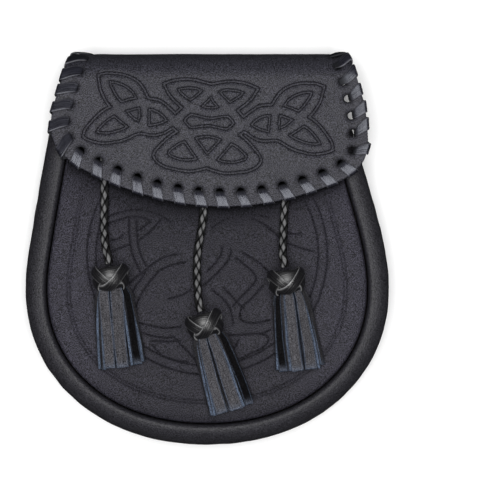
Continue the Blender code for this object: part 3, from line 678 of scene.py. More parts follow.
def cut_sheet(loops, lines, width, spacing, rims=()):
    """Triangles of a flat cut with holes, as even as they can be: a mesh of its loops, of rows of
    points at the given distances inside its edges, of five rows along each pressed line of a
    width, and of a staggered grid between them. The first points are those of the loops."""
    low, high = loops[0].min(0), loops[0].max(0)
    x, y = np.meshgrid(np.arange(low[0], high[0], spacing),
                       np.arange(low[1], high[1], spacing * 0.87))
    x[1::2] += spacing / 2
    extra = [np.stack([x.ravel(), y.ravel()], 1)]
    for line, closed in lines:
        side = sideways(line, closed) * width
        extra += [line + side * share for share in (-1.15, -0.55, 0.0, 0.55, 1.15)]
    for distance in rims:
        for loop in loops:
            side = sideways(loop, True) * distance
            extra += [loop - side, loop + side]
    extra = np.vstack(extra)
    clear = distance_to(extra, loops[0], True, 0.01) > (rims[0] * 0.8 if rims else spacing * 0.3)
    extra = extra[clear & inside(extra, loops[0])]
    for hole in loops[1:]:
        close = np.linalg.norm(extra - hole.mean(0), axis=1) < 0.004
        bad = np.zeros(len(extra), dtype=bool)
        margin = rims[0] * 0.8 if rims else 0.0003
        bad[close] = (inside(extra[close], hole)
                      | (distance_to(extra[close], hole, True, 0.004) < margin))
        extra = extra[~bad]
    sizes = [len(loop) for loop in loops]
    firsts = np.cumsum([0, *sizes[:-1]])
    edges = np.hstack([ring(size, first) for first, size in zip(firsts, sizes)]).T
    flat = np.vstack([*loops, extra]) * 1000
    made = geometry.delaunay_2d_cdt(flat.tolist(), edges.tolist(), [], 1, 1e-4)
    points = np.array(made[0]) / 1000
    triangles = np.array(made[2])
    hole_of = np.full(len(points), -1)
    for number, (first, size) in enumerate(zip(firsts[1:], sizes[1:])):
        hole_of[first:first + size] = number
    owner = hole_of[triangles]
    across_hole = (owner[:, 0] >= 0) & np.all(owner == owner[:, :1], 1)
    return points, triangles[~across_hole], firsts, sizes


def pressed(points, lines, width):
    """How deep the die went at each point, 0 to 1: 1.3 exp(-(d / 0.66 w)^2) for the nearest line,
    at most 1."""
    nearest = np.full(len(points), 0.002)
    for line, closed in lines:
        nearest = np.minimum(nearest, distance_to(points, line, closed, 0.002))
    return np.minimum(1.3 * bell(nearest, width * 0.66), 1.0)


# the flap's lower edge, y = lowest + bow x^2 - tilt x: a painted shadow of the flap darkens the
# panel close under it
FLAP_CENTRE_X = 0.0012
FLAP_LOWEST, FLAP_BOW, FLAP_TILT = 0.0213, 3.6, 0.055
# the panel's edge and underside: inset, share of the size, height over the plane of its edge
PANEL_ROWS = (
    (EDGE_TURN, 1, 0.0), (0.0011, 1, -0.0002), (0.0007, 1, -0.0006), (0.0004, 1, -0.0012),
    (0.0003, 1, -0.0020), (0.0003, 1, -0.0042), (0.0006, 1, -0.0045), (0.0022, 1, -0.0045),
    (0.0025, 1, -0.0042), (0.0025, 1, -0.0026), (0.0032, 1, -0.0022), (0.0060, 1, -0.0021),
    (0.0060, 0.85, -0.0017), (0.0060, 0.6, -0.0014), (0.0060, 0.3, -0.0014),
    (0.0060, 0.05, -0.0014))
ROWS_INSIDE = 7                           # its last rows, which are left undyed


def add_front_panel():
    """The panel: its pressed top, then rings down its turned edge and back under it to a pole."""
    edge = panel_outline(RIM_WIDTH, MOUTH_Y, POINT_SPACING)
    flat_edge = edge - sideways(edge, True) * EDGE_TURN
    lines = [(resampled(on_pouch(ROUNDEL_MIDDLE + circle(400) * radius), PRESS_SPACING, True),
              True) for radius in ROUNDEL_RINGS]
    border = body_path(MOUTH_Y - 0.004)
    border = [border - sideways(border) * (RIM_WIDTH + inset) for inset in BORDER_INSETS]
    double_line = [(resampled(line, PRESS_SPACING), False) for line in border]
    strokes = [(resampled(spline(on_pouch(stroke)), PRESS_SPACING), False)
               for stroke in ROUNDEL_STROKES]
    flat, triangles, _, _ = cut_sheet([flat_edge], lines + double_line + strokes, PRESS_WIDTH,
                                      FRONT_SPACING)
    from_edge = distance_to(flat, edge, True, 0.030)
    dent = np.maximum(pressed(flat, lines + strokes, PRESS_WIDTH),
                      BORDER_SHARE * pressed(flat, double_line, PRESS_WIDTH))
    crown = PANEL_CROWN * ramp(from_edge - EDGE_TURN, CROWN_WIDTH) ** 0.6
    uneven = ripple(flat[:, 0], flat[:, 1], 0.045, 5) * FRONT_UNEVENNESS
    fade = ramp(from_edge - EDGE_TURN, 0.01)
    height = front_height(flat[:, 1]) + crown + uneven * fade - PRESS_DEPTH * dent
    rings = plate(edge, PANEL_MIDDLE, PANEL_ROWS)
    rings[..., 2] += front_height(rings[..., 1])
    points = np.vstack([np.column_stack([flat, height]), rings[1:].reshape(-1, 3),
                        rings[-1].mean(0)])
    count, start, rows = len(edge), len(flat), len(PANEL_ROWS) - 1
    here, after = ring(count)
    join = np.stack([here, after, start + after, start + here], 1)
    walls = grid_faces(rows, count, True) + start
    last = start + (rows - 1) * count
    fan = np.stack([last + here, last + after, np.full(count, len(points) - 1)], 1)
    kinds = np.zeros(len(triangles) + len(join) + len(walls) + len(fan))
    kinds[-count * (ROWS_INSIDE + 1):] = 1
    # painted shade near the lowest seam and, as exp(-distance / reach), a painted shadow under the
    # flap's edge; the turned edge and underside are a little darker too
    low = ramp(-0.06 - flat[:, 1], 0.02)
    x = flat[:, 0] - FLAP_CENTRE_X
    below = np.clip(FLAP_LOWEST + FLAP_BOW * x ** 2 - FLAP_TILT * x - flat[:, 1], 0.0, 1.0)
    shade = np.maximum(0.22 * low * np.exp(-(from_edge / 0.0045) ** 4),
                       0.95 * np.exp(-below / (0.0064 - 0.03 * x)))
    press = np.append(np.maximum(PRESS_DARKNESS * dent, shade), np.full(len(points) - start, 0.2))
    # lighter towards the left and right sides
    sides_lighter = 0.75 * ramp(np.abs(points[:, 0]) - 0.040, 0.030)
    return add_piece("front_leather", points, [triangles[:, ::-1], join, walls, fan],
                     [panel_black, flesh_side], values={"press": press, "wear": sides_lighter},
                     kinds=kinds)


fit(add_front_panel(), "panel_leather", "front_panel")

# ---------------------------------------------------------------- belt loops
# Two strips of leather 22 mm wide and 2 mm thick, sewn down on the back at both ends with four
# rows of thread, and standing off it between them. Their edges are cut square and blackened.
LOOP_X, LOOP_HALF_WIDTH, LOOP_THICKNESS = 0.045, 0.011, 0.0020
LOOP_ENDS_Y, LOOP_LAP, LOOP_RISE = (0.014, 0.068), 0.009, 0.005
LOOP_STITCHES, LOOP_STITCH_LENGTH = 6, 0.0028


def oblong(width, thickness, count, power=6.0):
    """A flat strip's section: the oval |x/a|^p + |y/b|^p = 1, with its points evenly spread."""
    turn = np.linspace(0.0, 2 * np.pi, 721)[:-1]
    dense = np.stack([width / 2 * oval(np.cos(turn), power),
                      thickness / 2 * oval(np.sin(turn), power)], 1)
    length = np.linalg.norm(dense - np.roll(dense, 1, 0), axis=1).sum()
    return resampled(dense, length / count, True)


def swept(centres, across, up, section):
    """A section carried along a line: centre + across x its first number + up x its second."""
    section = np.broadcast_to(section, (len(centres), *section.shape[-2:]))
    return (centres[:, None] + across[:, None] * section[..., :1]
            + up[:, None] * section[..., 1:])


def over_grid(shape, poles, **marks):
    """Each mark spread over the points of a grid and then, unless poles is None, its number at
    the grid's two poles, 0 where poles doesn't name it."""
    ends = {key: () if poles is None else (poles.get(key, 0.0),) * 2 for key in marks}
    return {key: np.append(np.broadcast_to(mark, shape), ends[key]) for key, mark in marks.items()}


def add_belt_loop(name, x, node):
    """The strip along its line in the y-z plane, with two rows of stitches over each end."""
    low, high = LOOP_ENDS_Y
    half = LOOP_THICKNESS / 2

    def lapped(*places):
        """Points of the strip's middle where it lies on the back, from their y."""
        return [(y, back_height(y) - GAP - half) for y in places]

    line = (lapped(low, low + LOOP_LAP * 0.5, low + LOOP_LAP)
            + [(low + LOOP_LAP + LOOP_RISE, half), (low + LOOP_LAP + LOOP_RISE * 2.2, half),
               (0.041, half),
               (high - LOOP_LAP - LOOP_RISE * 2.2, half), (high - LOOP_LAP - LOOP_RISE, half)]
            + lapped(high - LOOP_LAP, high - LOOP_LAP * 0.5, high))
    line = resampled(spline(line, 8), PATH_SPACING)
    line[:, 1] = np.maximum(line[:, 1], half)
    ahead = unit(np.gradient(line, axis=0))
    centres = np.column_stack([np.full(len(line), x), line])
    up = np.column_stack([np.zeros(len(line)), ahead[:, 1], -ahead[:, 0]])
    across = np.broadcast_to((1.0, 0.0, 0.0), centres.shape)
    section = oblong(2 * LOOP_HALF_WIDTH, LOOP_THICKNESS, 40, 9.0)
    grid = swept(centres, across, up, section)
    edge = np.abs(section[:, 0]) > LOOP_HALF_WIDTH * 0.985
    marks = over_grid(grid.shape[:2], {"cut": 0.6, "wear": 0.3}, cut=0.6 * edge, wear=0.3 * edge)
    fit(add_piece(name, *capped(grid), [back_black], values=marks), "gusset_leather", node)
    row = np.linspace(-LOOP_HALF_WIDTH + 0.0025, LOOP_HALF_WIDTH - 0.0025, LOOP_STITCHES)
    rows = lapped(low + 0.0022, low + LOOP_LAP - 0.0016, high - LOOP_LAP + 0.0016, high - 0.0022)
    places = np.vstack([np.stack([x + row, 0 * row + y, 0 * row + z - half], 1) for y, z in rows])
    fit(add_stitches(name + "_stitches", places, np.broadcast_to((1.0, 0.0, 0.0), places.shape),
                     LOOP_STITCH_LENGTH), "gusset_leather")


add_belt_loop("left_loop_strap", -LOOP_X, "belt_loop_left")
add_belt_loop("right_loop_strap", LOOP_X, "belt_loop_right")

# ---------------------------------------------------------------- flap
# One piece of leather 2.4 mm thick, sewn to the top of the back, rolled over the mouth and left
# free in front. A knot of three interlaced leaves and two tablets is pressed into it with a
# double line, and 28 holes for the lacing are punched 7.7 mm inside its cut edge.
FLAP_THICKNESS = 0.0024
FLAP_CLEARANCE = 0.0078
ROLL_START_Y, ROLL_DEPTH = 0.088, 0.0134
TAIL_LENGTH = 0.018
HOLE_RADIUS, HOLE_INSET = 0.0019, 0.0077
HOLE_DRAW, HOLE_DRAW_WIDTH = 0.0004, 0.0012          # the thong pulls the leather in round them
SIDE_HOLES, SIDE_PITCH = 7, 0.0092
BOTTOM_HOLES, BOTTOM_PITCH = 14, 0.0110
KNOT_PRESS_WIDTH, KNOT_DEPTH, KNOT_SPACING = 0.00029, 0.00028, 0.00055
FLAP_SPACING, FLAP_RIMS = 0.0022, (0.00025, 0.0006)
# painted shade along the top of the roll, where it turns away from the light: its place and
# strength
ROLL_TOP_Y, ROLL_DARKNESS = 0.104, 0.30
KNOT_AXIS = ((209.6, 115.0), 3.0)         # a point on it and its lean in degrees
# the left half of the knot, in squares; a third number, 1, stands at each sharp corner
KNOT_OUTLINE = (
    (211, 86, 1), (205, 84.3), (196, 82), (188, 81), (180, 81.4), (173, 82.6), (165.8, 85, 1),
    (170, 93.3), (175.5, 100), (184.2, 108, 1), (175.5, 115.8, 1), (169, 109.6), (161.5, 103.3),
    (155, 101.2), (147.8, 100.2, 1), (144.8, 93.5), (141, 87), (136.5, 82.4), (130, 78.6),
    (122.5, 76), (115, 75), (107, 74.6), (100.2, 76.3, 1), (101, 83), (102.3, 90), (104.7, 95.5),
    (107.5, 101), (112.8, 107.6, 1), (107, 110.6), (101, 114.8), (95.3, 120.5), (89.5, 127),
    (86.2, 132), (85.2, 136.8, 1), (90, 139.4), (97, 141.4), (104, 142.5), (112, 141.6),
    (120, 140.4), (128, 137.6), (134, 134.6), (139.5, 132.5, 1), (145, 133.1), (150, 134.2),
    (156, 134.3), (161, 133.2), (165.5, 131.4), (169.5, 128.8), (173.8, 127, 1), (180, 132.7, 1),
    (174.5, 135.3), (167.5, 140.6), (160, 148), (156.5, 152), (155.2, 156), (157, 159.8),
    (161.5, 163.6), (167, 166.4), (174, 168), (182, 169.7), (190, 170.4), (198, 169.3),
    (206.6, 167.2, 1))
KNOT_WINDOWS = (
    ((109.3, 81, 1), (116, 81.8), (123, 84), (129, 87.5), (134, 92), (138.3, 99.5, 1), (130, 101),
     (121.3, 103.7, 1), (116.5, 98), (112.5, 91), (110, 86)),
    ((125, 111, 1), (132, 109.2), (140.4, 107, 1), (140.9, 112), (140.7, 118), (139.3, 123.2, 1),
     (132, 118.6)),
    ((148.3, 108.6, 1), (154, 109.4), (160, 112.2), (164.7, 116.2), (168.7, 121.2, 1),
     (163, 124.1), (156, 126.2), (148.2, 127.2, 1)),
    ((114.8, 115.3, 1), (121.5, 121), (129.8, 127.5, 1), (124, 130.5), (117, 133), (110, 134.5),
     (102, 134.6), (95.3, 133.2, 1), (98.5, 128.4), (103.5, 123), (109, 118.6)),
    ((176.8, 89, 1), (183, 87.8), (190, 87.3), (197, 88), (203.8, 91.2, 1), (197.5, 96.8),
     (190.6, 102.3, 1), (184, 97.4), (179.3, 93.2)),
    ((185.3, 140.6, 1), (192, 150.6), (198.7, 159.8, 1), (192.5, 161.3), (186, 161.6),
     (180, 160.9), (174, 159), (168.6, 156.5, 1), (167.5, 152.5), (170.5, 149), (175, 145.6),
     (180, 142.6)))
# the left halves of the three windows on the axis
KNOT_MIDDLE_WINDOWS = (
    ((211.2, 96.2, 1), (206, 101.6), (200.3, 106.8, 1), (205.5, 109), (210.3, 109.4)),
    ((210, 117.6), (204, 116.7), (197.5, 114.9), (191, 113.7, 1), (186.5, 117), (183, 121.2, 1),
     (187, 125.9), (190.8, 129.3, 1), (197, 128.6), (203, 127.8), (209.3, 127.5)),
    ((208.2, 135.9), (201, 136.6), (194.3, 138.2, 1), (201, 147.4), (207.3, 156, 1)))
KNOT_BAND_EDGES = (2.75, 2.35)            # squares from the outline and from a window


def flagged(loop):
    """The points of a loop with three numbers each, the third 1 at a sharp corner and else 0."""
    return np.array([(*point, 0)[:3] for point in loop], dtype=float)


def mirrored(loop):
    """A loop of the knot turned over on its leaning axis, run the other way."""
    (x, y), lean = KNOT_AXIS
    axis = np.array((math.cos(math.radians(lean)), math.sin(math.radians(lean))))
    other = loop.copy()
    other[:, :2] -= 2 * ((other[:, :2] - (x, y)) @ axis)[:, None] * axis
    return other[::-1]


def offset_loop(loop, distance):
    """A closed loop of squares moved outward by a distance, each corner along its bisector."""
    flat = loop[:, :2]
    ahead = unit(np.roll(flat, -1, 0) - flat)
    turned = np.sign(np.cross(flat, np.roll(flat, -1, 0)).sum())
    out = np.stack([ahead[:, 1], -ahead[:, 0]], 1) * turned
    before = np.roll(out, 1, 0)
    bisector = (out + before) / np.maximum(1 + (out * before).sum(1), 0.3)[:, None]
    return np.column_stack([flat + bisector * distance, loop[:, 2]])


def drawn(loop):
    """A closed loop made smooth from each sharp corner to the next."""
    loop = np.roll(loop, -int(np.argmax(loop[:, 2])), 0)
    corners = np.flatnonzero(loop[:, 2] > 0.5)
    arcs = []
    for first, last in zip(corners, [*corners[1:], len(loop)]):
        arcs.append(spline(loop[np.arange(first, last + 1) % len(loop), :2])[:-1])
    return np.vstack(arcs)


def knot_lines():
    """Both lines of the outline and of each window, as closed lines on the flap."""
    halves = map(flagged, (KNOT_OUTLINE, *KNOT_MIDDLE_WINDOWS))
    outline, *middles = (np.vstack([half, mirrored(half)[1:-1]]) for half in halves)
    sides = [flagged(window) for window in KNOT_WINDOWS]
    windows = sides + [mirrored(window) for window in sides] + middles
    loops = [outline, offset_loop(outline, KNOT_BAND_EDGES[0])]
    for window in windows:
        loops += [window, offset_loop(window, -KNOT_BAND_EDGES[1])]
    return [(resampled(on_pouch(drawn(loop)), KNOT_SPACING, True), True) for loop in loops]


def roll_sizes():
    """Top and bottom height of the roll's middle layer, and the leather's length round it."""
    top = front_height(ROLL_START_Y) + FLAP_CLEARANCE + FLAP_THICKNESS / 2
    bottom = back_height(ROLL_START_Y) - GAP - FLAP_THICKNESS / 2
    length = math.pi * math.sqrt((ROLL_DEPTH ** 2 + ((top - bottom) / 2) ** 2) / 2)
    return top, bottom, length


def on_flap(x, along, lift):
    """Places on the bent flap from x, length along the leather and lift out of its middle: the
    front plane, then half an oval over the roll, then the back plane."""
    top, bottom, roll_length = roll_sizes()
    half_height = (top - bottom) / 2
    past = along - ROLL_START_Y
    turn = np.clip(np.pi * past / roll_length, 0.0, np.pi)
    front, back = past <= 0.0, past >= roll_length
    y = np.where(front, along, np.where(back, ROLL_START_Y - (past - roll_length),
                                        ROLL_START_Y + ROLL_DEPTH * np.sin(turn)))
    z = np.where(front, front_height(along) + FLAP_CLEARANCE + FLAP_THICKNESS / 2,
                 np.where(back, back_height(y) - GAP - FLAP_THICKNESS / 2,
                          bottom + half_height * (1 + np.cos(turn))))
    ny = np.where(front, -FRONT_SLOPE, np.where(back, BACK_SLOPE, np.sin(turn) / ROLL_DEPTH))
    nz = np.where(front, 1.0, np.where(back, -1.0, np.cos(turn) / half_height))
    size = np.hypot(ny, nz)
    return np.stack([x + 0 * along, y + lift * ny / size, z + lift * nz / size], -1)


def flap_edge():
    """The flap's cut edge, counter-clockwise from the upper left round the lower edge to the upper
    right, then the straight end of the tail. Its lower edge runs down to the right."""
    x = np.linspace(0.0, 0.070, 11)
    tail_end = ROLL_START_Y + roll_sizes()[2] + TAIL_LENGTH
    sides = ((0.0757, 0.0433), (0.0795, 0.0472), (0.0820, 0.0520), (0.0832, 0.0575),
             (0.0829, 0.0650), (0.0816, 0.0740), (0.0793, 0.0825), (0.0768, 0.0910),
             (0.0745, 0.0990), (0.0715, 0.1120), (0.0680, 0.1250), (0.0655, tail_end - 0.006),
             (0.0600, tail_end))
    half_edge = np.vstack([np.stack([x, FLAP_LOWEST + FLAP_BOW * x * x], 1), sides])
    edge = np.vstack([half_edge[:0:-1] * (-1, 1), half_edge])
    fade = ramp(0.075 - edge[:, 1], 0.020)
    return edge + np.stack([np.full(len(edge), FLAP_CENTRE_X), -FLAP_TILT * edge[:, 0] * fade], 1)


def hole_places():
    """Each hole's place, the outward direction there and the direction along the edge: 14 along
    the lower edge from its middle, and seven up each side, on a line inside the edge."""
    edge = flap_edge()
    inner = edge - sideways(edge) * HOLE_INSET
    steps = lengths(inner)
    middle = np.interp(FLAP_CENTRE_X, inner[8:-8, 0], steps[8:-8])
    reach = BOTTOM_PITCH * (BOTTOM_HOLES - 1) / 2
    side = reach + SIDE_PITCH * np.arange(1, SIDE_HOLES + 1)
    stops = middle + np.concatenate([-side[::-1],
                                     np.linspace(-reach, reach, BOTTOM_HOLES), side])
    before, places, after = (at_lengths(inner, steps, stops + step)
                             for step in (-0.002, 0.0, 0.002))
    along = unit(after - before)
    return places, np.stack([along[:, 1], -along[:, 0]], 1), along


def add_flap():
    """Cut flat with its holes, the upper face pressed along the lines of the knot, its edges and
    holes rounded in a quarter circle, then bent on to the pouch."""
    loops = [resampled(spline(flap_edge()), 0.0011, True)]
    loops += [place + HOLE_RADIUS * circle(16) * (1, -1) for place in hole_places()[0]]
    lines = knot_lines()
    top, triangles, firsts, sizes = cut_sheet(loops, lines, KNOT_PRESS_WIDTH, FLAP_SPACING,
                                              FLAP_RIMS)
    under, under_triangles, _, _ = cut_sheet(loops, [], 0.0, FLAP_SPACING)
    near_hole = np.minimum.reduce([distance_to(top, loop, True, 0.004) for loop in loops[1:]])
    near_edge = np.minimum(near_hole, distance_to(top, loops[0], True, 0.004))
    dent = pressed(top, lines, KNOT_PRESS_WIDTH)
    past = np.clip(EDGE_ROUNDING - near_edge, 0, 1)
    round_over = EDGE_ROUNDING - np.sqrt(np.clip(EDGE_ROUNDING ** 2 - past ** 2, 0.0, None))
    uneven = ripple(top[:, 0], top[:, 1], 0.030, 8) * 0.00008
    drawn_in = bell(near_hole, HOLE_DRAW_WIDTH)
    lift = FLAP_THICKNESS / 2 - round_over - KNOT_DEPTH * dent + uneven - HOLE_DRAW * drawn_in
    points = np.vstack([on_flap(*top.T, lift),
                        on_flap(*under.T, np.full(len(under), -FLAP_THICKNESS / 2))])
    start = len(top)
    walls = []
    for first, size in zip(firsts, sizes):
        here, after = ring(size, first)
        walls.append(np.stack([start + here, start + after, after, here], 1))
    # painted shade along the roll's top and in the drawn-in ring round each hole; the knot's
    # pressed lines are darkened partly as the die's burnish and partly as painted shade
    roll_shade = ROLL_DARKNESS * bell(top[:, 1] - ROLL_TOP_Y, 0.007)
    marks = {"press": np.maximum.reduce([dent, 0.75 * drawn_in, roll_shade]),
             "cut": 0.75 * (near_edge < 0.0001),
             "wear": 0.35 * bell(near_edge, 0.0005)}
    kinds = np.repeat([0, 1, 0], [len(triangles), len(under_triangles), sum(sizes)])
    return add_piece("flap_leather_sheet", points,
                     [triangles, under_triangles[:, ::-1] + start, np.vstack(walls)],
                     [flap_black, flesh_side], kinds=kinds,
                     values={key: np.append(mark, np.zeros(len(under)))
                             for key, mark in marks.items()})


flap_black = leather("flap_black", (0.0235, 0.0232, 0.0300), 0.46, relief=0.00026, mottle=0.07,
                     specular=0.15)
fit(add_flap(), "flap_leather", "flap")

# ---------------------------------------------------------------- flap lacing
# One flat thong, 6 mm wide and 0.9 mm thick, whip-stitched through the holes and over the edge of
# the flap. It is drawn narrow in the holes, where it is painted dark as shade, and rises and
# spreads towards the edge, where its smooth side shines, the shine partly a painted highlight; its
# cut edges are paler and stand a little proud.
THONG_WIDTH, THONG_NARROW, THONG_THICKNESS, THONG_SLANT = 0.0061, 0.0030, 0.0009, 0.0026
THONG_FACE = FLAP_THICKNESS / 2 + 0.0001 + THONG_THICKNESS / 2
THONG_EDGE = HOLE_INSET + 0.0001 + THONG_THICKNESS / 2
# each stitch at ten stations: outward from the hole, lift, turn of the thong's outer side in
# degrees (0 outwards, 90 up), share of the slant and width, then what the stitches of the sides
# have besides: width taken off at the right and added at the left, how far those that cover their
# holes reach back, and how far those that are drawn in reach out
THONG_STATIONS = (
    (0.0016, -THONG_FACE, 270, 0.0, 0.0040, 0, 0, 0),
    (0.0002, 0.0004 - THONG_FACE, 225, 0.0, THONG_NARROW, 0, 0.0006, 0.0008),
    (0.0, 0.0, 180, 0.0, THONG_NARROW, 0, 0.0015, 0.0010),
    (0.0002, THONG_FACE - 0.0009, 138, 0.0, 0.0034, 0.0010, 0.0018, 0.0008),
    (0.0013, THONG_FACE - 0.0003, 112, 0.06, 0.0047, 0.0012, 0.0010, 0.0003),
    (0.0030, THONG_FACE + 0.0001, 97, 0.30, 0.0057, 0.0006, 0, 0),
    (THONG_EDGE - 0.0017, THONG_FACE + 0.0002, 88, 0.80, THONG_WIDTH, 0, 0, 0),
    (THONG_EDGE - 0.0002, THONG_FACE - 0.0004, 38, 0.93, THONG_WIDTH, 0, 0, 0),
    (THONG_EDGE, 0.0010 - THONG_FACE, -25, 1.05, THONG_WIDTH, 0, 0, 0),
    (THONG_EDGE - 0.0008, -THONG_FACE, -60, 1.15, THONG_WIDTH, 0, 0, 0))
THONG_TOP_STATIONS = 8                    # the others are under the flap
UPPER_HOLES_Y, HIGHEST_HOLES_Y = 0.080, 0.098
SIDE_FACING = 0.8                         # how far a side stitch's hole faces outwards
SIDE_RISE, LEFT_RISE, LEFT_TILT = 0.0009, 0.0004, 0.34
SLANT_SPREAD, WIDTH_SPREAD = 0.14, 0.04


def add_lacing():
    """The thong through every hole: its stations smoothed by a spline, a flat section with raised
    edges across it, and fine ridges along it that start again at each stitch."""
    places, out, along = hole_places()
    draw = np.random.default_rng(11)
    count, per = len(places), len(THONG_STATIONS)
    reach, lift, turn, slant, width, trim, back, forth = np.tile(THONG_STATIONS, (count, 1)).T
    stitch, station = np.repeat(np.arange(count), per), np.tile(np.arange(per), count)
    slant = slant * (1 + draw.normal(0, SLANT_SPREAD, count)[stitch])
    width = width * (1 + draw.normal(0, WIDTH_SPREAD, count)[stitch] * (station >= 4))
    # the stitches of the left side stand higher, tilt towards their edge and cover their holes,
    # those of the right side are drawn in, and the highest of both lie flat; the side stitches,
    # the left ones most, and the highest are rougher and painted darker as painted shade
    side = out[stitch, 0] * (np.abs(out[stitch, 0]) > SIDE_FACING)
    leftward, rightward = np.clip(-side, 0.0, 1.0), np.clip(side, 0.0, 1.0)
    y = places[stitch, 1]
    covering = np.maximum(leftward, (side > 0) * (y > UPPER_HOLES_Y))
    drawn = rightward * (y < UPPER_HOLES_Y)
    high = ramp(y - HIGHEST_HOLES_Y, 0.005)
    width = width - side * trim
    reach = reach - covering * back + drawn * forth
    slant = slant * (1 + 0.7 * np.abs(side))
    share = ramp(reach, THONG_EDGE) * (station < THONG_TOP_STATIONS)
    lift = (lift + SIDE_RISE * np.abs(side) * share ** 2 * (3 - 2 * share) * (1 - high)
            + LEFT_RISE * leftward * (1 - high))
    tilt = LEFT_TILT * leftward * (1 - high)
    shade_and_dull = np.maximum(0.30 * leftward + 0.15 * rightward, 0.9 * high)
    flat = (places[stitch] + out[stitch] * reach[:, None]
            + along[stitch] * (THONG_SLANT * slant)[:, None])
    heading = np.unwrap(np.arctan2(along[:, 1], along[:, 0]))[stitch]
    track = np.column_stack([flat, lift, np.radians(turn - 360 * stitch), width, heading,
                             stitch + np.tile(np.linspace(0, 1, per, endpoint=False), count),
                             shade_and_dull, tilt])
    track = spline(track[2:], 6)
    flat, lift, turn, width, heading, phase, shade_and_dull, tilt = np.split(track, range(2, 9), 1)
    u, v = oblong(1.0, 1.0, 26, 7.0).T
    ridge = ripple(u[None] * 0.9 + np.floor(phase) * 3.1, phase * 0.25, 0.16, 4) * 0.00003
    proud = 0.00006 * bell(np.abs(u) - 0.44, 0.06)
    thick = v[None] * THONG_THICKNESS + np.sign(v)[None] * (ridge + proud)
    aside = u[None] * width
    x = flat[:, :1] + np.cos(heading) * aside + np.sin(heading) * thick * np.cos(turn)
    y = flat[:, 1:] + np.sin(heading) * aside - np.cos(heading) * thick * np.cos(turn)
    grid = on_flap(x, y, lift + (thick + tilt * aside) * np.sin(turn))
    edges = bell(np.abs(u) - 0.5, 0.03)
    shown = np.clip(np.sin(turn), 0.0, 1.0) * ramp(width - 0.0034, 0.002)
    # painted shade where the thong turns into its holes or is narrow and on the side and highest
    # stitches; a painted highlight where it faces up; its pale cut edges are painted brighter
    # where it faces up and fainter where it is shaded
    marks = over_grid(grid.shape[:2], {"press": 1.0},
                      cut=edges * (0.15 + 0.6 * shown) * np.clip(2.5 - 2.5 * shade_and_dull, 0, 1),
                      wear=0.5 * shown, press=np.maximum(0.9 - 0.9 * shown, shade_and_dull),
                      across=u, along=phase * 0.020 + np.floor(phase) * 0.3)
    return add_piece("lacing_thong", *capped(grid), [thong_black], values=marks)


thong_black = leather("thong_black", (0.012, 0.012, 0.017), 0.24, grain=0.0006, relief=0.00007,
                      mottle=0.10, specular=0.34, cut_colour=(0.12, 0.12, 0.135), speckle=2.0,
                      fibres=3.0, shine=(0.88, 0.91, 1.0))
fit(add_lacing(), "thong_leather", "flap_lacing")

# ---------------------------------------------------------------- closing stud
# A plain turned stud, lacquered black: two heads on a stem, one seated on the front panel and
# the other under the flap, which it holds down.
STUD_PLACE = (0.0008, 0.052)
STUD_HEAD_RADIUS, STUD_STEM_RADIUS, STUD_HEAD_THICKNESS = 0.0060, 0.0030, 0.0018
STUD_EDGE_ROUND, STUD_FACE_RINGS = 0.0004, (0.0008, 0.0040)


def lacquer(name, colour):
    """Black lacquer on metal with fine scratches in its roughness and relief."""
    material, tree, shader, place = new_material(name)
    marks = noise(tree, place, 900.0, 4.0, 1.5)
    feed(tree, shader.inputs["Roughness"], calc(tree, "MULTIPLY_ADD", marks, 0.3, 0.2))
    feed(tree, shader.inputs["Base Color"],
         tinted(tree, colour, calc(tree, "MULTIPLY_ADD", marks, 0.4, 0.8)))
    add_relief(tree, shader, marks, 0.00002)
    return material


low, high = PANEL_CROWN + GAP, FLAP_CLEARANCE - GAP
head_low, head_high = low + STUD_HEAD_THICKNESS, high - STUD_HEAD_THICKNESS
inner, head, stem = STUD_HEAD_RADIUS - STUD_EDGE_ROUND, STUD_HEAD_RADIUS, STUD_STEM_RADIUS
stud_radius, stud_height = np.array([
    *((face, high) for face in STUD_FACE_RINGS), (inner, high), (head, high - STUD_EDGE_ROUND),
    (head, head_high + STUD_EDGE_ROUND), (inner, head_high), (stem, head_high),
    (stem, head_low), (inner, head_low), (head, head_low - STUD_EDGE_ROUND),
    (head, low + STUD_EDGE_ROUND), (inner, low),
    *((face, low) for face in STUD_FACE_RINGS[::-1])]).T[..., None]
right, upward = circle(48).T
tilt = math.atan(FRONT_SLOPE)
stud_grid = np.stack([
    stud_radius * right,
    stud_radius * upward * math.cos(tilt) - stud_height * math.sin(tilt),
    stud_radius * upward * math.sin(tilt) + stud_height * math.cos(tilt)], 2)
stud_grid += (*STUD_PLACE, front_height(STUD_PLACE[1]))
fit(add_piece("stud_turned", *capped(stud_grid), [lacquer("black_lacquer", (0.03, 0.03, 0.03))]),
    "stud_finish", "closing_stud")

# ---------------------------------------------------------------- tassels
# Three tassels hang from under the flap. Each is a round braid of eight flat laces, 4.5 mm thick,
# held on the front panel by a small leather arch, and ends in a Turk's head knot of a wider
# lace, out of which hangs a skirt of leather strips cut square and left raw at their ends.
CORD_RADIUS = 0.0022
CORD_RISE_LENGTH = 0.026
KNOT_RADIUS, KNOT_HALF_LENGTH = 0.0100, 0.0068
HEAD_DEPTH = 0.0050
FRINGE_LENGTH, FRINGE_END_HALF = 0.0402, 0.0042
KEEPER_LENGTH, KEEPER_FOOT, KEEPER_THICKNESS = 0.008, 0.0045, 0.0014
BRAID_PITCH, BRAID_CORE, BRAID_SWING = 0.0284, 0.00135, 0.00045
LACE_THICKNESS, LACE_WIDTH, KNOT_LACE_WIDTH = 0.0009, 0.0025, 0.0052
STRIP_THICKNESS = 0.0015
# degrees of the lace's run at each crossing of a knot, and 1 where it passes over there, -1 under
KNOT_CROSSINGS = (15, 30, 60, 75, 105, 120, 150, 165, 195, 210, 240, 255, 285, 300, 330, 345)
KNOT_PASSES = (1, 1, -1, -1, -1, -1, -1, 1, 1, -1, 1, -1, -1, 1, 1, 1)
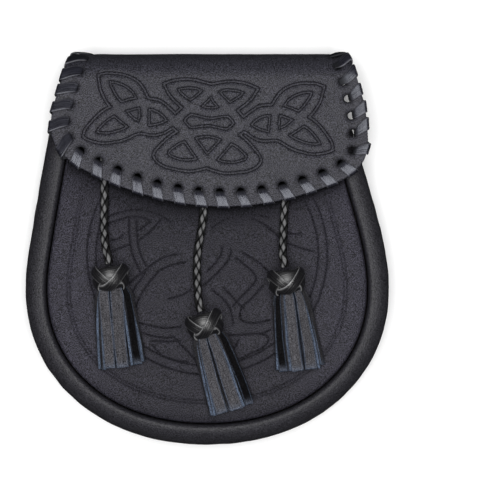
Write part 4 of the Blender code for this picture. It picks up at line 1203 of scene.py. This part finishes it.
# name, knot's place, lean of its tassel, turn of its knot and of its braid in degrees, and the
# cord's route from under the flap
TASSELS = (
    ("left", (-0.0502, -0.0162), 6.6, 0.0, 96.5,
     ((-0.0546, 0.0555), (-0.0545, 0.0455), (-0.0542, 0.0360), (-0.0539, 0.0260),
      (-0.0541, 0.0170), (-0.0538, 0.0080), (-0.0529, 0.0))),
    ("centre", (-0.0008, -0.0406), 16.5, 8.0, 78.0,
     ((-0.0030, 0.0430), (-0.0022, 0.0335), (-0.0018, 0.0240), (-0.0022, 0.0150),
      (-0.0034, 0.0065), (-0.0048, -0.0020), (-0.0053, -0.0110), (-0.0050, -0.0190))),
    ("right", (0.0418, -0.0180), 7.4, -6.0, 98.0,
     ((0.0436, 0.0475), (0.0430, 0.0385), (0.0421, 0.0290), (0.0408, 0.0200),
      (0.0404, 0.0110), (0.0399, 0.0010), (0.0397, -0.0050))),
)
# each strip of the skirts: its middle across the tassel at the knot and at its end and its width
# at both, in mm, its turn in degrees, its height (-1 under, 1 on top), its length's share, and how
# much painted shade darkens it, on strips turned aside, lying underneath or in deep shade
STRIPS = {
    "left": (
        (-8.0, -11.5, 4.6, 4.6, 82, -0.35, 0.99, 0.3), (-7.0, -9.6, 5.0, 5.0, 68, 0.0, 1.0, 0.3),
        (-4.45, -5.4, 5.7, 5.5, 3, 0.62, 1.0, 0.0), (2.6, 0.9, 7.3, 6.3, -3, 0.72, 1.0, 0.0),
        (5.4, 6.2, 4.6, 4.6, -80, 0.20, 0.99, 0.3), (7.2, 9.05, 4.0, 4.4, -8, 0.15, 0.98, 1.0),
        (8.6, 11.8, 4.4, 4.4, -80, -0.45, 0.96, 0.3)),
    "centre": (
        (-7.6, -10.7, 4.8, 4.8, 76, -0.35, 0.98, 0.3), (-6.4, -8.7, 4.8, 4.8, 80, 0.0, 1.0, 0.3),
        (-3.6, -4.6, 4.6, 6.1, 3, 0.62, 0.99, 0.0), (1.8, 3.35, 5.3, 6.8, -4, 0.72, 1.0, 0.0),
        (5.0, 7.7, 4.6, 4.6, -82, 0.20, 0.99, 0.3), (6.6, 10.3, 4.1, 4.3, -8, 0.15, 0.98, 1.0),
        (8.2, 12.2, 4.2, 4.2, -84, -0.60, 0.95, 0.3)),
    "right": (
        (-7.4, -10.6, 4.2, 4.2, 84, -0.60, 0.96, 0.3), (-5.9, -7.75, 2.8, 4.3, 8, 0.15, 0.98, 1.0),
        (-3.6, -4.6, 4.8, 4.8, 70, 0.10, 0.99, 0.3), (0.1, -0.2, 5.0, 6.2, 2, 0.72, 1.0, 0.0),
        (5.4, 6.9, 4.1, 6.2, -6, 0.60, 1.0, 0.0), (7.8, 11.4, 4.8, 4.8, -78, -0.10, 1.0, 0.3),
        (8.6, 13.0, 4.6, 4.6, -66, -0.50, 0.97, 0.3))}
UNDER_STRIPS = (
    (-5.6, -6.6, 5.2, 6.0, -6, -0.55, 0.98, 0.5), (0.0, 0.0, 5.4, 6.2, 3, -0.60, 0.99, 0.5),
    (5.4, 6.6, 5.2, 6.0, 8, -0.55, 0.98, 0.5))
# the skirt's form at six distances from the knot's centre: half height, share of the drop to the
# panel, share of the spread, and how far the strips are drawn together
SKIRT_STATIONS = np.array((
    (KNOT_HALF_LENGTH - HEAD_DEPTH, 0.0046, 0.0, 0.0, 0.55),
    (KNOT_HALF_LENGTH - 0.001, 0.0050, 0.0, 0.0, 0.86),
    (KNOT_HALF_LENGTH + 0.003, 0.0054, 0.08, 0.10, 1.0),
    (KNOT_HALF_LENGTH + 0.012, 0.0054, 0.42, 0.42, 1.0),
    (KNOT_HALF_LENGTH + 0.026, 0.0048, 0.86, 0.74, 1.0),
    (KNOT_HALF_LENGTH + FRINGE_LENGTH, FRINGE_END_HALF, 1.0, 1.0, 1.0)))


def tassel_frame(place, lean):
    """The knot's centre and the tassel's directions: along it, across it and up."""
    lean = math.radians(lean)
    centre = np.array((*place, front_height(place[1]) + PANEL_CROWN + GAP + KNOT_RADIUS))
    along = unit(np.array((math.sin(lean), -math.cos(lean), -FRONT_SLOPE * math.cos(lean))))
    across = np.array((math.cos(lean), math.sin(lean), 0.0))
    return centre, along, across, np.cross(along, across)


def cord_route(centre, along, seen):
    """The cord's middle from its keeper along the panel, rising to the middle of the knot."""
    end = centre - along * (KNOT_HALF_LENGTH + 2 * GAP)
    seen = np.array(seen)
    nearness = np.clip(1 - np.linalg.norm(seen - end[:2], axis=1) / CORD_RISE_LENGTH, 0.0, None)
    rise = (KNOT_RADIUS - CORD_RADIUS) * nearness ** 2 * (3 - 2 * nearness)
    level = front_height(seen[:, 1]) + PANEL_CROWN + GAP + CORD_RADIUS
    route = np.vstack([np.column_stack([seen, level + rise]), end - along * 0.004, end])
    return resampled(spline(route, 12), 0.00035)


def wound_lace(first, second, first_rate, second_rate, section, lift):
    """A flat lace wound on a surface, as two numbers on the surface and a height over it for each
    point. The rates are metres for one of each number. The section lies at right angles to the
    lace's run, so that the lace bends with the surface."""
    run, climb = np.gradient(first) * first_rate, np.gradient(second) * second_rate
    size = np.hypot(run, climb)
    wide, thick = np.atleast_3d(section.T).T[..., 0], np.atleast_3d(section.T).T[..., 1]
    return (first[:, None] - wide * (climb / size / first_rate)[:, None],
            second[:, None] + wide * (run / size / second_rate)[:, None],
            lift[:, None] + thick)


def lace_section(width, count):
    """A lace's flat section, its two long edges raised by a tenth of a millimetre."""
    section = oblong(width, LACE_THICKNESS, count, 5.0)
    raised = bell(np.abs(section[:, 0]) - width / 2 + 0.0004, 0.0003)
    return section + np.stack([0 * raised, 0.00012 * raised * np.sign(section[:, 1])], 1)


def lace_marks(section, width, edge_width, along):
    """The numbers a lace's material reads: its cut edges, and the place across and along."""
    share = section[:, 0] / width
    edge = bell((np.abs(share) - 0.5) * width, edge_width)
    return {"cut": edge * 0.95, "across": share * width / 0.006, "along": along[:, None]}


def add_joined(name, parts, material):
    """One piece of parts that are each (points, faces, values), with its faces renumbered."""
    shifts = np.cumsum([0, *(len(points) for points, _, _ in parts)])
    faces = [group + shift for (_, groups, _), shift in zip(parts, shifts) for group in groups]
    values = {key: np.concatenate([marks[key] for _, _, marks in parts]) for key in parts[0][2]}
    return add_piece(name, np.vstack([points for points, _, _ in parts]), faces, [material],
                     values=values)


def add_braid(name, route, braid_turn, material):
    """Eight laces round the route: four turn left and four right, on a core of 1.35 mm radius.
    Their height over it swings by 0.45 mm as tanh of the cosine of twice the angle across the
    other four, so that each dips along the edges of those that it passes under."""
    ahead = unit(np.gradient(route, axis=0))
    side = unit(np.cross(ahead, (0.0, 0.0, 1.0)))
    length = np.linspace(0, 1, len(route)) * np.linalg.norm(np.diff(route, axis=0), axis=1).sum()
    table = np.column_stack([route, side, np.cross(side, ahead)])
    section = oblong(LACE_WIDTH, LACE_THICKNESS, 14, 3.0)
    rate, turn, parts = 2 * np.pi / BRAID_PITCH, math.radians(braid_turn), []
    for hand in (-1, 1):
        for start in turn + np.radians((0, 90, 180, 270)):
            theta, s, lift = wound_lace(hand * rate * length + start, length,
                                        BRAID_CORE + 0.0004 + 0 * length, 1.0 + 0 * length,
                                        section, 0 * length)
            over = hand * np.cos(2 * (theta + hand * rate * s + start - 2 * turn))
            lift = BRAID_CORE + (lift + BRAID_SWING * np.tanh(2.5 * over))
            found = at_lengths(table, length, s)
            out = (found[..., 3:6] * np.cos(theta)[..., None]
                   + found[..., 6:] * np.sin(theta)[..., None])
            grid = found[..., :3] + out * lift[..., None]
            # painted shade: a lace is darkened where it passes under, and at crossings that face
            # well to one side, away from the light
            crossing = turn + np.pi / 4 * (np.round((theta - rate * s - turn) / (np.pi / 2))
                                           + np.round((theta + rate * s - turn) / (np.pi / 2)))
            aside = np.abs(np.cos(crossing)) > 0.70
            under = 1 - ramp(over - 0.25, 0.35)
            marks = over_grid(grid.shape[:2], {}, press=np.maximum(0.98 * under, 0.98 * aside),
                              **lace_marks(section, LACE_WIDTH, 0.00050, length + start))
            parts.append((*capped(grid), marks))
    return add_joined(name, parts, material)


def add_keeper(name, route, node):
    """The arch that holds the cord down: its section, two feet and half a ring, carried along the
    cord for 8 mm."""
    inner = CORD_RADIUS + GAP + KEEPER_THICKNESS / 2
    foot = inner + KEEPER_THICKNESS / 2 + KEEPER_FOOT
    turn = np.linspace(0.0, np.pi, 19)
    floor_level = -CORD_RADIUS + KEEPER_THICKNESS / 2
    feet = np.linspace(foot, inner + 0.0004, 5)
    line = np.vstack([np.stack([-feet, np.full(5, floor_level)], 1),
                      np.stack([-inner * np.cos(turn), inner * np.sin(turn)], 1),
                      np.stack([feet[::-1], np.full(5, floor_level)], 1)])
    ahead = unit(route[20] - route[0])
    across = unit(np.cross(ahead, (0.0, 0.0, 1.0)))
    up = np.cross(across, ahead)
    start = route[0] - ahead * 0.001
    reach = np.linspace(0.0, KEEPER_LENGTH, 12)
    grid = (start + ahead * reach[:, None, None] + across * line[None, :, :1]
            + up * line[None, :, 1:])
    keeper = add_piece(name, grid.reshape(-1, 3), [grid_faces(*grid.shape[:2], False)],
                       [gusset_black], closed=False)
    layer = keeper.modifiers.new("leather", "SOLIDIFY")
    layer.thickness, layer.offset = KEEPER_THICKNESS * 0.95, 0.0
    return fit(keeper, "gusset_leather", node)


def add_turks_head(name, frame, knot_turn, material):
    """A Turk's head of three leads and four bights. The lace runs round a barrel at angle 3t and
    height turn f cos 4t - g, and passes over or under at each crossing as listed, eased by a sine.
    Its bight on top of the tassel is drawn out to a wide leaf. A plain core fills the middle."""
    centre, along, across, up = frame
    ring_radius, tube, stretch, swing, sink, taper = 0.0061, 0.0030, 0.0060, 1.22, 0.22, 0.0009
    leaf_length, leaf_spread, leaf_reach, pass_height = 0.36, 0.80, 0.42, 0.00055
    core_ring, core_tube, core_stretch = 0.0051, 0.0036, 0.0059

    def on_barrel(theta, radius, height):
        """Places about the tassel's line, from an angle, a radius and a height up it."""
        return (centre + across * (radius * np.cos(theta))[..., None]
                + up * (radius * np.sin(theta))[..., None] - along * height[..., None])

    t = np.linspace(0.0, 2 * np.pi, 720, endpoint=False)
    leaf = bell(t - 1.5 * np.pi, leaf_length)
    theta = 3 * t + math.radians(knot_turn)
    phi = swing * np.cos(4 * t) - sink - leaf_reach * leaf
    section = lace_section(KNOT_LACE_WIDTH, 26)[None] * np.stack(
        [1 + leaf_spread * leaf, np.ones(len(t))], 1)[:, None]
    over = np.sin(np.pi / 2 * np.interp(np.degrees(t), KNOT_CROSSINGS, KNOT_PASSES, period=360))
    theta, phi, lift = wound_lace(
        theta, phi, ring_radius + tube * np.cos(phi),
        np.hypot(tube * np.sin(phi), stretch * np.cos(phi)), section, pass_height * over)
    radius = ring_radius + (tube + lift) * np.cos(phi) + taper * np.sin(phi)
    grid = on_barrel(theta, radius, (stretch + lift) * np.sin(phi))
    rows, count = grid.shape[:2]
    here, after = ring(count)
    last = (rows - 1) * count
    close = np.stack([last + here, last + after, after, here], 1)
    # painted shade where the lace passes under
    marks = over_grid((rows, count), None, press=(0.12 - 0.12 * over)[:, None],
                      **lace_marks(section[0], KNOT_LACE_WIDTH, 0.00026, t * 0.026))
    rise = np.linspace(-1.25, 1.25, 15)[:, None]
    spin = np.linspace(0.0, 2 * np.pi, 40, endpoint=False)[None]
    radius = core_ring + core_tube * np.cos(rise) + taper * np.sin(rise) + 0 * spin
    core, core_faces = capped(on_barrel(spin, radius, core_stretch * np.sin(rise) + 0 * spin))
    # the core, seen only between the laces, is painted darker as shade
    plain = {key: np.full(len(core), 0.3 * (key == "press")) for key in marks}
    lace = (grid.reshape(-1, 3), [grid_faces(rows, count, True), close], marks)
    return add_joined(name, [lace, (core, core_faces, plain)], material)


def add_fringe(name, frame, strips, seed, material):
    """The skirt: each strip runs from inside the knot to its place among the cut ends, and lies
    down on the panel as it spreads. Its raw end is uneven by a fifth of a millimetre and frayed
    to a paler tone over its last 3 mm."""
    centre, along, across, up = frame
    draw = np.random.default_rng(seed)
    drop = KNOT_RADIUS - FRINGE_END_HALF
    u, v = oblong(1.0, 1.0, 26, 8.0).T
    parts = []
    for number, strip in enumerate(strips):
        near, far, near_width, far_width, turned, height, share, strip_shade = strip
        last = KNOT_HALF_LENGTH + FRINGE_LENGTH * share + draw.uniform(-0.0004, 0.0002)
        s = np.concatenate([np.linspace(SKIRT_STATIONS[0, 0], last - 0.0008, 50),
                            last - np.array((0.0004, 0.0))])
        high, lower, spread, drawn_in = at_lengths(SKIRT_STATIONS[:, 1:],
                                                   SKIRT_STATIONS[:, 0], s).T
        place = (near + (far - near) * spread) * 0.001 * drawn_in
        width = (near_width + (far_width - near_width) * spread) * 0.001 * drawn_in
        roll = np.radians(turned) * np.clip(0.7 + 0.5 * spread, 0.0, 1.0)
        roll = roll + ripple(s, 0 * s, 0.03, seed + 7 * number) * 0.05 * spread
        bow = ripple(s, 0 * s, 0.035, seed + 50 + number) * 0.00030 * spread
        middle = (centre + along * s[:, None] + across * (place + bow)[:, None]
                  + up * (height * (high - 0.0008) - drop * lower)[:, None])
        flat = across * np.cos(roll)[:, None] + up * np.sin(roll)[:, None]
        face = up * np.cos(roll)[:, None] - across * np.sin(roll)[:, None]
        wide = u * width[:, None]
        grid = swept(middle, flat, face, np.stack([wide, v * STRIP_THICKNESS + 0 * wide], 2))
        grid[-2:] += along * draw.normal(0, 0.00020, len(u))[None, :, None]
        sides = bell(np.abs(u) - 0.5, 0.03) + 0 * wide
        sides[-1] = 1.0
        fray = bell(last - s, 0.0022)[:, None]
        # each strip's painted shade, lessened towards its frayed end
        marks = over_grid(grid.shape[:2], {"cut": 1.0, "press": strip_shade},
                          cut=np.maximum(sides, 0.5 * fray), press=strip_shade * (1 - 0.6 * fray),
                          wear=0.35 * draw.uniform(0.2, 1.0) + 0.6 * fray,
                          across=u + 3.0 * number, along=s[:, None])
        parts.append((*capped(grid), marks))
    return add_joined(name, parts, material)


lace_black = leather("lace_black", (0.009, 0.0088, 0.0098), 0.31, grain=0.0005, relief=0.00009,
                     mottle=0.16, specular=0.50, cut_colour=(0.21, 0.21, 0.215), speckle=1.5,
                     fibres=2.6)
# the braid's cut edges are coloured near black as painted shade in the gaps between its laces
braid_grey = leather("braid_grey", (0.124, 0.124, 0.126), 0.50, grain=0.0005, relief=0.00008,
                     mottle=0.14, specular=0.025, cut_colour=(0.001, 0.001, 0.001), speckle=2.0,
                     fibres=1.6)
fringe_black = leather("fringe_black", (0.0412, 0.0403, 0.0445), 0.66, grain=0.0006,
                       relief=0.00014, mottle=0.12, specular=0.03,
                       cut_colour=(0.050, 0.064, 0.092), speckle=5.0, fibres=1.8)
for number, (side_name, knot_place, lean, knot_turn, braid_turn, seen) in enumerate(TASSELS):
    frame_here = tassel_frame(knot_place, lean)
    route = cord_route(frame_here[0], frame_here[1], seen)
    knob = fit(add_turks_head("turks_head_" + side_name, frame_here, knot_turn, lace_black),
               "thong_leather", "tassel_knot_" + side_name)
    skirt = fit(add_fringe("strips_" + side_name, frame_here, STRIPS[side_name] + UNDER_STRIPS,
                           20 + number, fringe_black),
                "fringe_leather", "tassel_fringe_" + side_name)
    add_keeper("cord_arch_" + side_name, route, "cord_keeper_" + side_name)
    braid = fit(add_braid("braid_" + side_name, route, braid_turn, braid_grey), "thong_leather",
                "tassel_cord_" + side_name)
